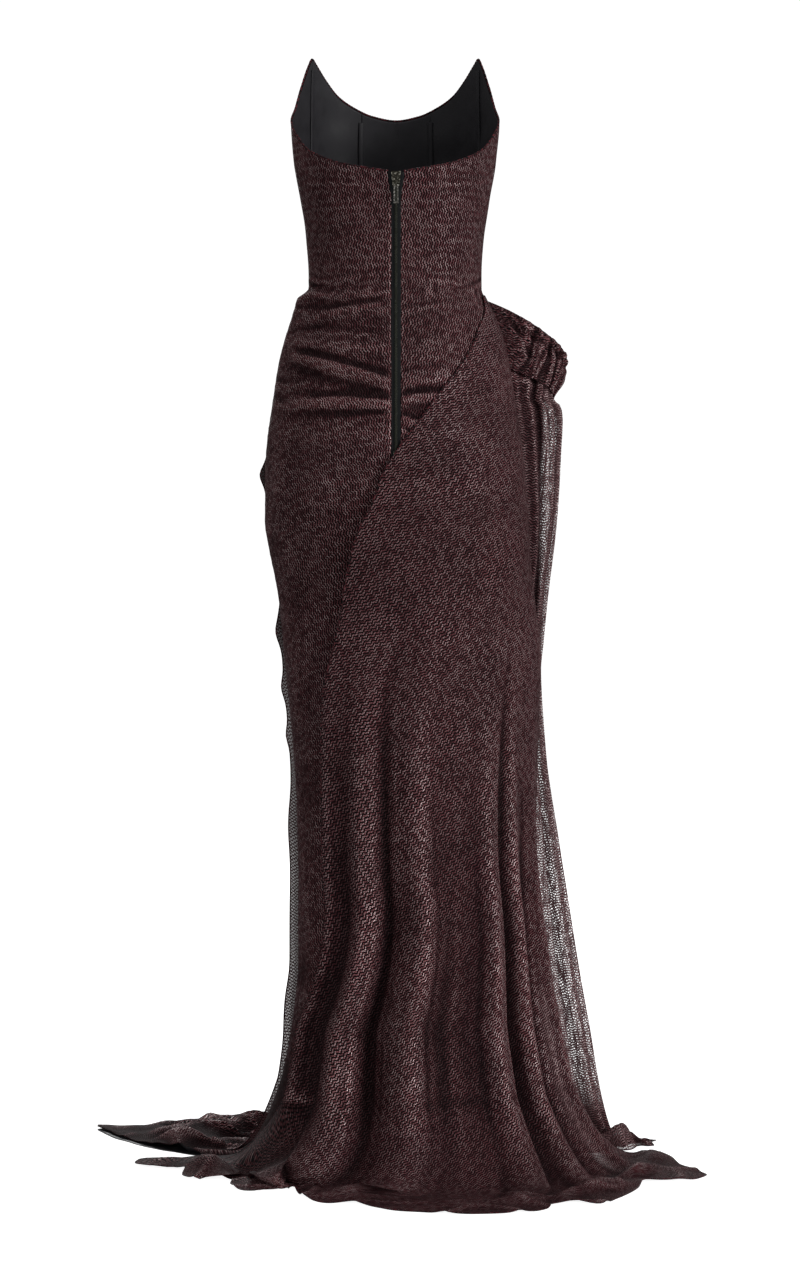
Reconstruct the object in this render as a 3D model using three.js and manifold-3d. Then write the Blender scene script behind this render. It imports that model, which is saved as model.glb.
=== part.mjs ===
// A strapless gown, hollow as if worn, in millimetres with +Z up. The origin is the middle of the
// waist, where the wearer holds it. +Y is the wearer's back and -X the wearer's right. Each cloth piece
// is a thin wall. Angles run round the body in degrees: 0 at centre back, 90 at the wearer's right, 180
// at centre front.
import * as THREE from "three";
import { mergeVertices } from "three/addons/utils/BufferGeometryUtils.js";
import Module from "manifold-3d";

const wasm = await Module();
wasm.setup();

// Driving sizes
const WAIST_HEIGHT = 1087.5;
const FLOOR = -WAIST_HEIGHT;
const SHELL_WALL = 1.6;
const SKIRT_WALL = 1.4;
const LINING_WALL = 1.0;
const SEAM_GAP = 0.4;
const LAYER_GAP = 0.5;
const TURN_DROP = 100; // the last stretch of every skirt layer, which turns out on to the floor
const RUN_SPREAD = 1.25; // rows on the floor lie closer together near the turn
// The heights of the rows that all skirt layers share: one layer's facets lie along the next one's.
const SKIRT_ROWS = [
  -8, -18, -32, -50, -72, -98, -125, -155, -195, -215, -245, -290, -350, -420, -500, -590, -690, -790,
  -870, -935, FLOOR + TURN_DROP,
];
// More rows for the back left panel, which carries the tucks.
const TUCKED_ROWS = [
  -8, -18, -30, -41, -52, -63, -74, -85, -95, -104, -113, -122, -131, -140, -149, -162, -195, -215,
  -245, -290, -350, -420, -500, -590, -690, -790, -870, -935, FLOOR + TURN_DROP,
];
const ZIP_TOP = 138;
const ZIP_BOTTOM = -208.6;
const ZIP_HALF = 5.2;
const ZIP_CLOSE = { below: 6.4, drop: 30 }; // where the seam starts to close under the zip, and how slowly
const NUDGE = 0.004; // how far along a grid the wall's direction is measured, as a share of its side
const SAME_POINT = 1e-4;
const DEG = Math.PI / 180;

// The gown's outer form at each height, without its overlays: half widths to the wearer's left and right, and
// depths behind and before the middle.
const FORM = [
  { up: 305, left: 129.2, right: 126.8, back: 84, front: 104 },
  { up: 250, left: 131.7, right: 129.3, back: 89, front: 113 },
  { up: 210, left: 131.2, right: 128.8, back: 92, front: 119 },
  { up: 157, left: 127.2, right: 124.8, back: 92, front: 122 },
  { up: 109, left: 118.7, right: 116.3, back: 89, front: 114 },
  { up: 60, left: 111.7, right: 109.3, back: 86, front: 100 },
  { up: 20, left: 109, right: 106.6, back: 84, front: 91 },
  { up: 0, left: 108.7, right: 106.3, back: 83.5, front: 90 },
  { up: -12, left: 123, right: 110.5, back: 88, front: 93 },
  { up: -25, left: 127, right: 117, back: 92, front: 95 },
  { up: -58, left: 136.7, right: 130.5, back: 102, front: 100 },
  { up: -90, left: 145.6, right: 138.5, back: 111, front: 104 },
  { up: -152, left: 156, right: 148, back: 122.5, front: 109 },
  { up: -191, left: 160.4, right: 153, back: 126.5, front: 110 },
  { up: -239, left: 163.4, right: 157.5, back: 126, front: 109 },
  { up: -287, left: 163.2, right: 161, back: 120.5, front: 107 },
  { up: -322, left: 158.8, right: 161.5, back: 116.5, front: 105.5 },
  { up: -399, left: 145, right: 155, back: 108.5, front: 103 },
  { up: -471, left: 138, right: 148, back: 103, front: 101.5 },
  { up: -590, left: 127.5, right: 134, back: 99, front: 100 },
  { up: -640, left: 124.5, right: 130, back: 98.5, front: 101 },
  { up: -760, left: 122.3, right: 126, back: 98.5, front: 103 },
  { up: -840, left: 122.3, right: 126, back: 100, front: 106 },
  { up: -890, left: 127, right: 129, back: 104, front: 110 },
  { up: -940, left: 134, right: 135, back: 110, front: 115 },
  { up: FLOOR + TURN_DROP, left: 143, right: 143, back: 118, front: 122 },
];

// The neckline's height round the body: low at centre back, a point over each side front, a scoop between.
const NECKLINE = [
  { angle: 0, up: 138 },
  { angle: 17, up: 144.5 },
  { angle: 29, up: 149 },
  { angle: 42, up: 156.5 },
  { angle: 59, up: 170.5 },
  { angle: 73, up: 190.5 },
  { angle: 90, up: 210 },
  { angle: 104, up: 226 },
  { angle: 115, up: 258 },
  { angle: 121.5, up: 283 },
  { angle: 125, up: 293 },
  { angle: 128.5, up: 287 },
  { angle: 137, up: 268 },
  { angle: 146, up: 249 },
  { angle: 156, up: 236 },
  { angle: 167, up: 226 },
  { angle: 180, up: 221 },
];

// The bust fullness that the princess seams shape, the same on both sides.
const BUST = { angle: 145, up: 150, wide: 24, tall: 52, rise: 9 };

// The bodice's panels, right half: from and to, in degrees. The left half mirrors them.
const PRINCESS_SEAMS = { back: 88, side: 125, front: 160 };
const BODICE_ROWS = 7;
const BACK_COLUMNS = 7;
const SIDE_COLUMNS = 5;
const FRONT_COLUMNS = 6;
const CENTRE_COLUMNS = 5;

// Ruching pulled from the zip across the hips: each tuck is a soft ridge between two places on the
// skirt, and fades past its far end.
const TUCKS = [
  { fromAngle: -3, fromUp: -9, toAngle: -62, toUp: -5, rise: 2.6, half: 7 },
  { fromAngle: -3, fromUp: -30, toAngle: -66, toUp: -42, rise: 2.4, half: 8 },
  { fromAngle: -3, fromUp: -78, toAngle: -74, toUp: -64, rise: 2.2, half: 9 },
  { fromAngle: -3, fromUp: -122, toAngle: -58, toUp: -86, rise: 4.4, half: 9 },
  { fromAngle: -3, fromUp: -147, toAngle: -50, toUp: -144, rise: 3.6, half: 8 },
  { fromAngle: 3, fromUp: -120, toAngle: 30, toUp: -112, rise: 1.2, half: 7 },
  { fromAngle: 3, fromUp: -142, toAngle: 22, toUp: -138, rise: 1.4, half: 6 },
  { fromAngle: 3, fromUp: -168, toAngle: 12, toUp: -170, rise: 1.2, half: 6 },
];

const TUCK_FADE = { from: 0.75, to: 1.35 };
const TUCK_START = { from: 1, to: 6 }; // degrees beside the zip in which a tuck rises

// The underskirt's hem on the floor: how far out it reaches. It runs to one long point at the left front.
const SKIRT_HEM = [
  { angle: -180, reach: 208 },
  { angle: -165, reach: 218 },
  { angle: -155, reach: 250 },
  { angle: -141, reach: 320 },
  { angle: -130, reach: 386 },
  { angle: -125.5, reach: 428 },
  { angle: -122, reach: 463 },
  { angle: -118, reach: 424 },
  { angle: -115, reach: 400 },
  { angle: -111, reach: 366 },
  { angle: -107, reach: 336 },
  { angle: -101, reach: 294 },
  { angle: -95, reach: 260 },
  { angle: -88, reach: 238 },
  { angle: -80, reach: 225 },
  { angle: -60, reach: 212 },
  { angle: 0, reach: 208 },
  { angle: 90, reach: 215 },
  { angle: 180, reach: 208 },
];

// Soft heaps in the underskirt's train: place, spread round the body and outwards, and height.
const SKIRT_BILLOWS = [
  { angle: -133, reach: 290, wide: 13, long: 38, rise: 22 },
  { angle: -127, reach: 350, wide: 6, long: 30, rise: 13 },
  { angle: -107, reach: 282, wide: 6, long: 26, rise: 15 },
  { angle: -116, reach: 330, wide: 4, long: 34, rise: 11 },
  { angle: -121, reach: 395, wide: 2.6, long: 40, rise: 6 },
];

// How far the black hem lining shows past the underskirt's near edge, along the floor.
const HEM_LINING = [
  { angle: -150, reach: 262 },
  { angle: -140, reach: 312 },
  { angle: -128, reach: 380 },
  { angle: -120.7, reach: 454 },
  { angle: -117.5, reach: 431 },
  { angle: -115, reach: 411 },
  { angle: -112.3, reach: 391 },
  { angle: -109.7, reach: 367 },
  { angle: -107, reach: 348 },
  { angle: -101, reach: 306 },
  { angle: -96, reach: 270 },
  { angle: -92, reach: 250 },
];

// The back drape lies over the underskirt from the right waist: how far out it stands at each height.
const BACK_DRAPE_STANDS = [
  { up: -8, left: 2.5, right: 2.5, back: 2.5 },
  { up: -60, left: 2.6, right: 2.6, back: 2.6 },
  { up: -146, left: 3, right: 2.6, back: 3 },
  { up: -208, left: 4.4, right: 4.2, back: 4.4 },
  { up: -267, left: 5, right: 4.4, back: 8 },
  { up: -322, left: 8, right: 6, back: 16 },
  { up: -399, left: 15, right: 20, back: 31 },
  { up: -444, left: 19, right: 30, back: 41 },
  { up: -520, left: 21, right: 38, back: 52 },
  { up: -640, left: 26, right: 50, back: 68 },
  { up: -800, left: 34, right: 60, back: 88 },
  { up: -870, left: 40, right: 66, back: 96 },
  { up: -930, left: 46, right: 70, back: 101 },
  { up: FLOOR + TURN_DROP, left: 50, right: 73, back: 107 },
];

// Its free left edge, a diagonal from the right waist across the zip's foot and down the left back.
const BACK_DRAPE_EDGE = [
  { up: -8, angle: 76 },
  { up: -28, angle: 66 },
  { up: -52, angle: 51 },
  { up: -75, angle: 42.7 },
  { up: -99, angle: 33.6 },
  { up: -122, angle: 24.7 },
  { up: -144, angle: 17.4 },
  { up: -173, angle: 8.4 },
  { up: -208, angle: -0.9 },
  { up: -233, angle: -6 },
  { up: -268, angle: -10 },
  { up: -300, angle: -15.7 },
  { up: -355, angle: -21.6 },
  { up: -425, angle: -26.7 },
  { up: -513, angle: -35.4 },
  { up: -588, angle: -36.7 },
  { up: -702, angle: -35.6 },
  { up: -768, angle: -33.4 },
  { up: -815, angle: -35 },
  { up: -863, angle: -38.9 },
  { up: -912, angle: -43 },
  { up: FLOOR + TURN_DROP, angle: -43 },
];
const BACK_DRAPE_RIGHT = 95;
const BACK_DRAPE_HEM_LEFT = -86;

// Its folds fan out from the right waist: place across the panel from 0 at the free edge to 1 at the right,
// half width there, rise at the foot (below zero for a valley) and the height where it starts.
const BACK_DRAPE_FOLDS = [
  { across: 0.02, half: 0.03, rise: 9, from: -300 },
  { across: 0.15, half: 0.045, rise: 21, from: -380 },
  { across: 0.235, half: 0.028, rise: -17, from: -330 },
  { across: 0.34, half: 0.052, rise: 24, from: -300 },
  { across: 0.425, half: 0.022, rise: -12, from: -700 },
  { across: 0.49, half: 0.04, rise: -9, from: -500 },
  { across: 0.575, half: 0.036, rise: 15, from: -420 },
  { across: 0.642, half: 0.018, rise: -18, from: -380 },
  { across: 0.69, half: 0.026, rise: 13, from: -430 },
  { across: 0.755, half: 0.022, rise: -17, from: -560 },
  { across: 0.84, half: 0.036, rise: 14, from: -480 },
  { across: 0.93, half: 0.024, rise: -8, from: -600 },
];

// Its hem on the floor: a point at the left, the near sweep and a second point at the right.
const BACK_DRAPE_HEM = [
  { angle: -86, reach: 322 },
  { angle: -81, reach: 328 },
  { angle: -75, reach: 315 },
  { angle: -71, reach: 288 },
  { angle: -66, reach: 284 },
  { angle: -60, reach: 299 },
  { angle: -55, reach: 297 },
  { angle: -52, reach: 270 },
  { angle: -47, reach: 270 },
  { angle: -42, reach: 296 },
  { angle: -36, reach: 309 },
  { angle: -33, reach: 300 },
  { angle: -30, reach: 264 },
  { angle: -28, reach: 266 },
  { angle: -20, reach: 317 },
  { angle: -13.4, reach: 348 },
  { angle: -9, reach: 344 },
  { angle: -6, reach: 354 },
  { angle: 0, reach: 391 },
  { angle: 4.5, reach: 402 },
  { angle: 10, reach: 419 },
  { angle: 17, reach: 425 },
  { angle: 22, reach: 425 },
  { angle: 25, reach: 416 },
  { angle: 28, reach: 396 },
  { angle: 31, reach: 394 },
  { angle: 35, reach: 419 },
  { angle: 40, reach: 404 },
  { angle: 44, reach: 392 },
  { angle: 51, reach: 373 },
  { angle: 57, reach: 358 },
  { angle: 61, reach: 382 },
  { angle: 66, reach: 402 },
  { angle: 69.5, reach: 404 },
  { angle: 73, reach: 388 },
  { angle: 80, reach: 356 },
  { angle: 90, reach: 340 },
  { angle: 95, reach: 334 },
];

const BACK_DRAPE_BILLOWS = [
  { angle: -62, reach: 262, wide: 9, long: 22, rise: 22 },
  { angle: -79, reach: 286, wide: 4, long: 30, rise: 6 },
  { angle: -36, reach: 262, wide: 7, long: 20, rise: 9 },
  { angle: -8, reach: 318, wide: 10, long: 12, rise: 7 },
  { angle: 18, reach: 376, wide: 12, long: 14, rise: 7 },
  { angle: 44, reach: 352, wide: 8, long: 14, rise: 13 },
  { angle: 62, reach: 330, wide: 7, long: 12, rise: 15 },
  { angle: 84, reach: 322, wide: 7, long: 16, rise: 10 },
];

// The front drape mirrors it on the hidden side, from the right waist to the left hip.
const FRONT_DRAPE_STANDS = [
  { up: -8, left: 2.4, front: 2.4 },
  { up: -120, left: 2.6, front: 3 },
  { up: -300, left: 2.8, front: 5 },
  { up: -399, left: 4.6, front: 8 },
  { up: -471, left: 5.4, front: 12 },
  { up: -590, left: 6.6, front: 20 },
  { up: -776, left: 12.4, front: 31 },
  { up: -874, left: 11.6, front: 35 },
  { up: -939, left: 8.6, front: 37 },
  { up: FLOOR + TURN_DROP, left: 6.6, front: 39.5 },
];
const FRONT_DRAPE_EDGE = [
  { up: -8, angle: 166 },
  { up: -60, angle: 196 },
  { up: -120, angle: 226 },
  { up: -180, angle: 249 },
  { up: -216, angle: 263 },
  { up: -232, angle: 266.5 },
  { up: -248, angle: 262 },
  { up: -275, angle: 254 },
  { up: -380, angle: 254 },
  { up: -412, angle: 261 },
  { up: FLOOR + TURN_DROP, angle: 262 },
];
const FRONT_DRAPE_RIGHT = 151;
const FRONT_DRAPE_FOLDS = [
  { across: 0.1, half: 0.05, rise: 12, from: -300 },
  { across: 0.3, half: 0.06, rise: 15, from: -340 },
  { across: 0.42, half: 0.03, rise: -9, from: -420 },
  { across: 0.55, half: 0.05, rise: 12, from: -380 },
  { across: 0.78, half: 0.05, rise: 7, from: -460 },
];
// Waves in its free left edge, which show past the underskirt.
const EDGE_WAVES = [
  { up: -231, half: 12, rise: 4.6 },
  { up: -428, half: 17, rise: 6 },
  { up: -498, half: 15, rise: 4.4 },
  { up: -558, half: 13, rise: 3.4 },
  { up: -668, half: 42, rise: 4 },
  { up: -900, half: 34, rise: 2.4 },
];
const EDGE_WAVE_SHARE = 0.13; // of the panel's width
const FRONT_DRAPE_HEM = [
  { angle: 151, reach: 240 },
  { angle: 180, reach: 242 },
  { angle: 215, reach: 232 },
  { angle: 240, reach: 220 },
  { angle: 262, reach: 217 },
];

// The hip loop: a gathered band that stands out from the right hip, and the sheer cascade that falls from it.
// widest is how far to the wearer's right it reaches at each height.
const LOOP_WIDEST = [
  { up: 0, widest: 214 },
  { up: -84, widest: 216 },
  { up: -112, widest: 212 },
  { up: -136, widest: 199 },
  { up: -146, widest: 208 },
  { up: -165, widest: 210 },
  { up: -224, widest: 207 },
  { up: -287, widest: 202 },
  { up: -384, widest: 190 },
  { up: -444, widest: 184 },
  { up: -475, widest: 181 },
  { up: -565, widest: 187 },
  { up: -637, widest: 193 },
  { up: -792, widest: 215 },
  { up: -874, widest: 228 },
  { up: -939, widest: 240 },
  { up: FLOOR + TURN_DROP, widest: 248 },
];
const LOOP = { fromAngle: 99, toAngle: 147, leanRight: 0.95, leanFront: 0.3, off: 2.6 };
const RUFFLE = {
  rimAtBody: -13,
  rimDrop: 72,
  rimCurve: 1.12,
  footAtBody: -98,
  footDrop: 39,
  pleats: 14,
  rise: 2.6,
  returnShare: 1 / 3,
  returnDrop: 16,
  returnIn: 13,
  riseLoss: 0.35,
  rows: 6,
};
const CASCADE = {
  folds: 7,
  riseTop: 2.4,
  riseFoot: 9,
  inset: 1.2,
  topGap: 1,
  turn: 36,
  hemRun: 84,
  curlAt: 0.2,
  curlHalf: 0.12,
  curlRise: 36,
  curlPower: 1.3,
  sharedBelow: -150,
  growFrom: -120,
  growTo: -940,
  turnRows: 3,
  runRows: 2,
};
const PLEAT_COLUMNS = 4;

// A smooth curve through a table's rows that never overshoots them. Gives every other column for one
// key value.
function curveThrough(rows, key) {
  const sorted = [...rows].sort((a, b) => a[key] - b[key]);
  const keys = sorted.map((row) => row[key]);
  const columns = Object.keys(sorted[0]).filter((column) => column !== key);
  const last = keys.length - 1;
  const slopes = {};
  for (const column of columns) {
    const rise = keys.slice(1).map((k, i) => (sorted[i + 1][column] - sorted[i][column]) / (k - keys[i]));
    slopes[column] = keys.map((_, i) => {
      const before = rise[Math.max(i - 1, 0)];
      const after = rise[Math.min(i, last - 1)];
      return before * after > 0 ? (2 * before * after) / (before + after) : 0;
    });
  }
  return (value) => {
    const at = THREE.MathUtils.clamp(value, keys[0], keys[last]);
    let i = 0;
    while (i < last - 1 && at > keys[i + 1]) i += 1;
    const span = keys[i + 1] - keys[i];
    const t = (at - keys[i]) / span;
    const found = {};
    for (const column of columns) {
      const a = sorted[i][column];
      const b = sorted[i + 1][column];
      const inA = (t * t * t - 2 * t * t + t) * span * slopes[column][i];
      const inB = (t * t * t - t * t) * span * slopes[column][i + 1];
      found[column] = a + (b - a) * (3 * t * t - 2 * t * t * t) + inA + inB;
    }
    return found;
  };
}

const formAt = curveThrough(FORM, "up");
const necklineAt = curveThrough(NECKLINE, "angle");
const skirtHemAt = curveThrough(SKIRT_HEM, "angle");
const hemLiningAt = curveThrough(HEM_LINING, "angle");
const backDrapeStandsAt = curveThrough(BACK_DRAPE_STANDS, "up");
const backDrapeEdgeAt = curveThrough(BACK_DRAPE_EDGE, "up");
const backDrapeHemAt = curveThrough(BACK_DRAPE_HEM, "angle");
const frontDrapeStandsAt = curveThrough(FRONT_DRAPE_STANDS, "up");
const frontDrapeEdgeAt = curveThrough(FRONT_DRAPE_EDGE, "up");
const frontDrapeHemAt = curveThrough(FRONT_DRAPE_HEM, "angle");
const loopWidestAt = curveThrough(LOOP_WIDEST, "up");

const bell = (distance, half) => Math.exp(-((distance / half) ** 2));
const mix = THREE.MathUtils.lerp;
const ease = THREE.MathUtils.smoothstep;
const turnInto = (angle) => ((((angle + 180) % 360) + 360) % 360) - 180; // any angle as -180 to 180

// A point round the body, moved out by some millimetres: side is towards the wearer's right, behind the back.
function planSpot(angle, form, out) {
  const across = (turnInto(angle) < 0 ? form.left : form.right) + out;
  const deep = (Math.cos(angle * DEG) > 0 ? form.back : form.front) + out;
  return { side: across * Math.sin(angle * DEG), behind: deep * Math.cos(angle * DEG) };
}
const place = (plan, up) => new THREE.Vector3(-plan.side, plan.behind, up);

const evenly = (count) => Array.from({ length: count + 1 }, (_, i) => i / count);

// Columns across a folded panel: one on each fold's crest, one at each side of it, and more in the
// wide gaps.
const FOLD_COLUMNS = { beside: 1.25, first: 0.008, last: 0.985, closest: 0.011, widest: 0.06 };
function foldColumns(folds) {
  const { beside, first, last, closest, widest } = FOLD_COLUMNS;
  const marks = folds.flatMap((f) => [f.across - beside * f.half, f.across, f.across + beside * f.half]);
  const inside = marks.filter((mark) => mark > first && mark < last).sort((a, b) => a - b);
  const kept = [0];
  for (const mark of [...inside, 1]) {
    const from = kept[kept.length - 1];
    if (mark - from < closest) continue;
    const extra = Math.ceil((mark - from) / widest);
    for (let k = 1; k <= extra; k += 1) kept.push(mix(from, mark, k / extra));
  }
  return kept;
}

// A closed wall from a grid of outer points: the same grid moved inwards by the wall, and a rim round both.
// spot(u, v) takes u round the body towards the wearer's right side first, and v from the top down.
function wall(columns, rows, thickness, spot) {
  const across = typeof columns === "number" ? evenly(columns) : columns;
  const wide = across.length;
  const outer = [];
  const inner = [];
  for (const v of evenly(rows))
    for (const u of across) {
      const point = spot(u, v);
      const round = spot(u + NUDGE, v).sub(spot(u - NUDGE, v));
      const down = spot(u, Math.min(v + NUDGE, 1)).sub(spot(u, Math.max(v - NUDGE, 0)));
      outer.push(point);
      inner.push(point.clone().addScaledVector(down.cross(round).normalize(), -thickness));
    }
  const count = outer.length;
  const index = [];
  const outward = (a, b, c, d) => index.push(a, d, b, b, d, c);
  const inward = (a, b, c, d) => index.push(a, b, d, b, c, d);
  for (let j = 0; j < rows; j += 1)
    for (let i = 0; i < wide - 1; i += 1) {
      const a = j * wide + i;
      const corners = [a, a + 1, a + 1 + wide, a + wide];
      outward(...corners);
      inward(...corners.map((corner) => corner + count));
    }
  const rim = [];
  for (let i = 0; i < wide - 1; i += 1) rim.push(i);
  for (let j = 0; j < rows; j += 1) rim.push(j * wide + wide - 1);
  for (let i = wide - 1; i > 0; i -= 1) rim.push(rows * wide + i);
  for (let j = rows; j > 0; j -= 1) rim.push(j * wide);
  rim.forEach((a, k) => {
    const b = rim[(k + 1) % rim.length];
    outward(a, count + a, count + b, b);
  });
  const geometry = new THREE.BufferGeometry().setFromPoints([...outer, ...inner]);
  geometry.setIndex(index);
  geometry.computeVertexNormals();
  return geometry;
}

// Where a place down a floor-length layer lies: at which height on its wall, in the turn at its foot, or
// on the run out to the hem. The heights may vary round the layer, so each place gives its own list.
function layerRows(heightCount, turnRows, runRows) {
  const wallRows = heightCount - 1;
  const count = wallRows + turnRows + runRows;
  const at = (v, heights) => {
    const row = THREE.MathUtils.clamp(v, 0, 1) * count;
    const k = Math.min(Math.floor(row), wallRows - 1);
    const up = row < wallRows ? mix(heights[k], heights[k + 1], row - k) : FLOOR + TURN_DROP;
    const turn = THREE.MathUtils.clamp((row - wallRows) / turnRows, 0, 1);
    const run = THREE.MathUtils.clamp((row - wallRows - turnRows) / runRows, 0, 1) ** RUN_SPREAD;
    return { up, turn, run };
  };
  return { count, at };
}

// Height of the soft heaps at a place on the floor.
function billowRise(billows, polar, reach) {
  return billows.reduce(
    (sum, b) => sum + b.rise * bell(polar - b.angle, b.wide) * bell(reach - b.reach, b.long),
    0,
  );
}

// Takes a point at the foot of a wall out over the floor: a parabola down through the turn, then level
// to the hem.
function onFloor(foot, hem, turnLength, step, heightAt) {
  const length = Math.hypot(hem.side - foot.side, hem.behind - foot.behind);
  const out = step.turn * turnLength + step.run * Math.max(length - turnLength, 1);
  const share = out / length;
  const plan = { side: mix(foot.side, hem.side, share), behind: mix(foot.behind, hem.behind, share) };
  const polar = Math.atan2(plan.side, plan.behind) / DEG;
  const reach = Math.hypot(plan.side, plan.behind);
  const rest = heightAt(polar, reach);
  return { plan, up: FLOOR + mix(TURN_DROP, rest, 1 - (1 - step.turn) ** 2), polar, reach };
}
function hemSpot(angle, reach) {
  return { side: reach * Math.sin(angle * DEG), behind: reach * Math.cos(angle * DEG) };
}

// What an upper layer rests on: the underskirt's train inside its hem, and the floor outside it.
const SKIRT_REST = LINING_WALL + LAYER_GAP + SKIRT_WALL;
const SKIRT_STEP = { from: 8, to: 40, clear: 1 }; // how far past the hem the upper layers come down
function restOverSkirt(polar, reach) {
  const over = 1 - ease(reach - skirtHemAt(polar).reach, SKIRT_STEP.from, SKIRT_STEP.to);
  return SKIRT_WALL + over * (SKIRT_REST + SKIRT_STEP.clear);
}

const meshes = new Map();
function add(name, geometry, material) {
  const mesh = new THREE.Mesh(geometry, material);
  mesh.name = name;
  meshes.set(name, mesh);
  return mesh;
}

const glitterMesh = new THREE.MeshStandardMaterial({ color: "#3d2526", roughness: 0.6, metalness: 0.25 });
const blackSatin = new THREE.MeshStandardMaterial({ color: "#0b0b0d", roughness: 0.5, metalness: 0 });
const blackTape = new THREE.MeshStandardMaterial({ color: "#0a0b0c", roughness: 0.85, metalness: 0 });
const gunmetal = new THREE.MeshStandardMaterial({ color: "#6b6a68", roughness: 0.35, metalness: 0.9 });

// Bodice: seven shell panels, five lining panels and four bone channels
function bodiceSpot(angle, up, out) {
  const round = bell(Math.abs(turnInto(angle)) - BUST.angle, BUST.wide);
  const bust = BUST.rise * round * bell(up - BUST.up, BUST.tall);
  return place(planSpot(angle, formAt(up), out + bust), up);
}

function bodicePanel(fromAngle, toAngle, columns, out, thickness, topDrop) {
  return wall(columns, BODICE_ROWS, thickness, (u, v) => {
    const top = necklineAt(Math.abs(turnInto(mix(fromAngle(0), toAngle(0), u)))).up;
    const up = Math.min(mix(top, SEAM_GAP / 2, v), top - topDrop);
    return bodiceSpot(mix(fromAngle(up), toAngle(up), u), up, out);
  });
}

// Edges of a panel as angles at each height: half a seam's gap to one side of a seam, or beside the
// zip's slot.
function seamAt(angle, side) {
  return (up) => {
    const form = formAt(up);
    const deep = Math.cos(angle * DEG) > 0 ? form.back : form.front;
    const pace = Math.hypot(form.right * Math.cos(angle * DEG), deep * Math.sin(angle * DEG)) * DEG;
    return angle + (side * SEAM_GAP) / 2 / pace;
  };
}
function angleBeside(up, across) {
  const { left, right } = formAt(up);
  return Math.asin(across / (across < 0 ? left : right)) / DEG;
}
const zipEdge = (side) => (up) => angleBeside(up, side * (ZIP_HALF + SEAM_GAP));
const { back: backSeam, side: sideSeam, front: frontSeam } = PRINCESS_SEAMS;
const shell = (name, from, to, columns) =>
  add(name, bodicePanel(from, to, columns, 0, SHELL_WALL, 0), glitterMesh);
shell("bodice_back_right", zipEdge(1), seamAt(backSeam, -1), BACK_COLUMNS);
shell("bodice_side_right", seamAt(backSeam, 1), seamAt(sideSeam, -1), SIDE_COLUMNS);
shell("bodice_front_right", seamAt(sideSeam, 1), seamAt(frontSeam, -1), FRONT_COLUMNS);
shell("bodice_front_centre", seamAt(frontSeam, 1), seamAt(360 - frontSeam, -1), CENTRE_COLUMNS);
shell("bodice_front_left", seamAt(360 - frontSeam, 1), seamAt(360 - sideSeam, -1), FRONT_COLUMNS);
shell("bodice_side_left", seamAt(360 - sideSeam, 1), seamAt(360 - backSeam, -1), SIDE_COLUMNS);
shell("bodice_back_left", seamAt(-backSeam, 1), zipEdge(-1), BACK_COLUMNS);

const LINING_OUT = -(SHELL_WALL + LAYER_GAP);
const LINING_DROP = 3;
const lining = (name, from, to, columns) =>
  add(name, bodicePanel(from, to, columns, LINING_OUT, LINING_WALL, LINING_DROP), blackSatin);
lining("lining_side_right", seamAt(backSeam, 1), seamAt(sideSeam, -1), SIDE_COLUMNS);
lining("lining_front_right", seamAt(sideSeam, 1), seamAt(frontSeam, -1), FRONT_COLUMNS);
lining("lining_front_centre", seamAt(frontSeam, 1), seamAt(360 - frontSeam, -1), CENTRE_COLUMNS);
lining("lining_front_left", seamAt(360 - frontSeam, 1), seamAt(360 - sideSeam, -1), FRONT_COLUMNS);
lining("lining_side_left", seamAt(360 - sideSeam, 1), seamAt(360 - backSeam, -1), SIDE_COLUMNS);

const BONE = { half: 3.5, wall: 1, topDrop: 14, foot: 4, gap: 1.1 };
const BONE_OUT = LINING_OUT - LINING_WALL - BONE.gap;
for (const [name, angle] of [
  ["bone_channel_side_right", sideSeam],
  ["bone_channel_front_right", frontSeam],
  ["bone_channel_front_left", 360 - frontSeam],
  ["bone_channel_side_left", 360 - sideSeam],
]) {
  const top = necklineAt(Math.abs(turnInto(angle))).up;
  const spot = (u, v) => {
    const up = THREE.MathUtils.clamp(mix(top, SEAM_GAP / 2, v), BONE.foot, top - BONE.topDrop);
    const half = BONE.half / formAt(up).right / DEG;
    return bodiceSpot(mix(angle - half, angle + half, u), up, BONE_OUT);
  };
  add(name, wall(1, BODICE_ROWS, BONE.wall, spot), blackSatin);
}

// Underskirt: front, back left and back right, from the waist to the floor
function tuckRise(angle, up) {
  return TUCKS.reduce((sum, t) => {
    const along = (angle - t.fromAngle) / (t.toAngle - t.fromAngle);
    const fade = 1 - ease(along, TUCK_FADE.from, TUCK_FADE.to);
    const side = t.toAngle * angle > 0 ? ease(Math.abs(angle), TUCK_START.from, TUCK_START.to) : 0;
    return sum + t.rise * fade * side * bell(up - mix(t.fromUp, t.toUp, along), t.half);
  }, 0);
}
const SKIRT_TURN = 62;
const SKIRT_SEAM = 90;
const SKIRT_COLUMNS = { front: 18, backRight: 8, backLeft: 9 };
const TURN_ROWS = 4;
const SKIRT_RUN_ROWS = 4;
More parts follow.
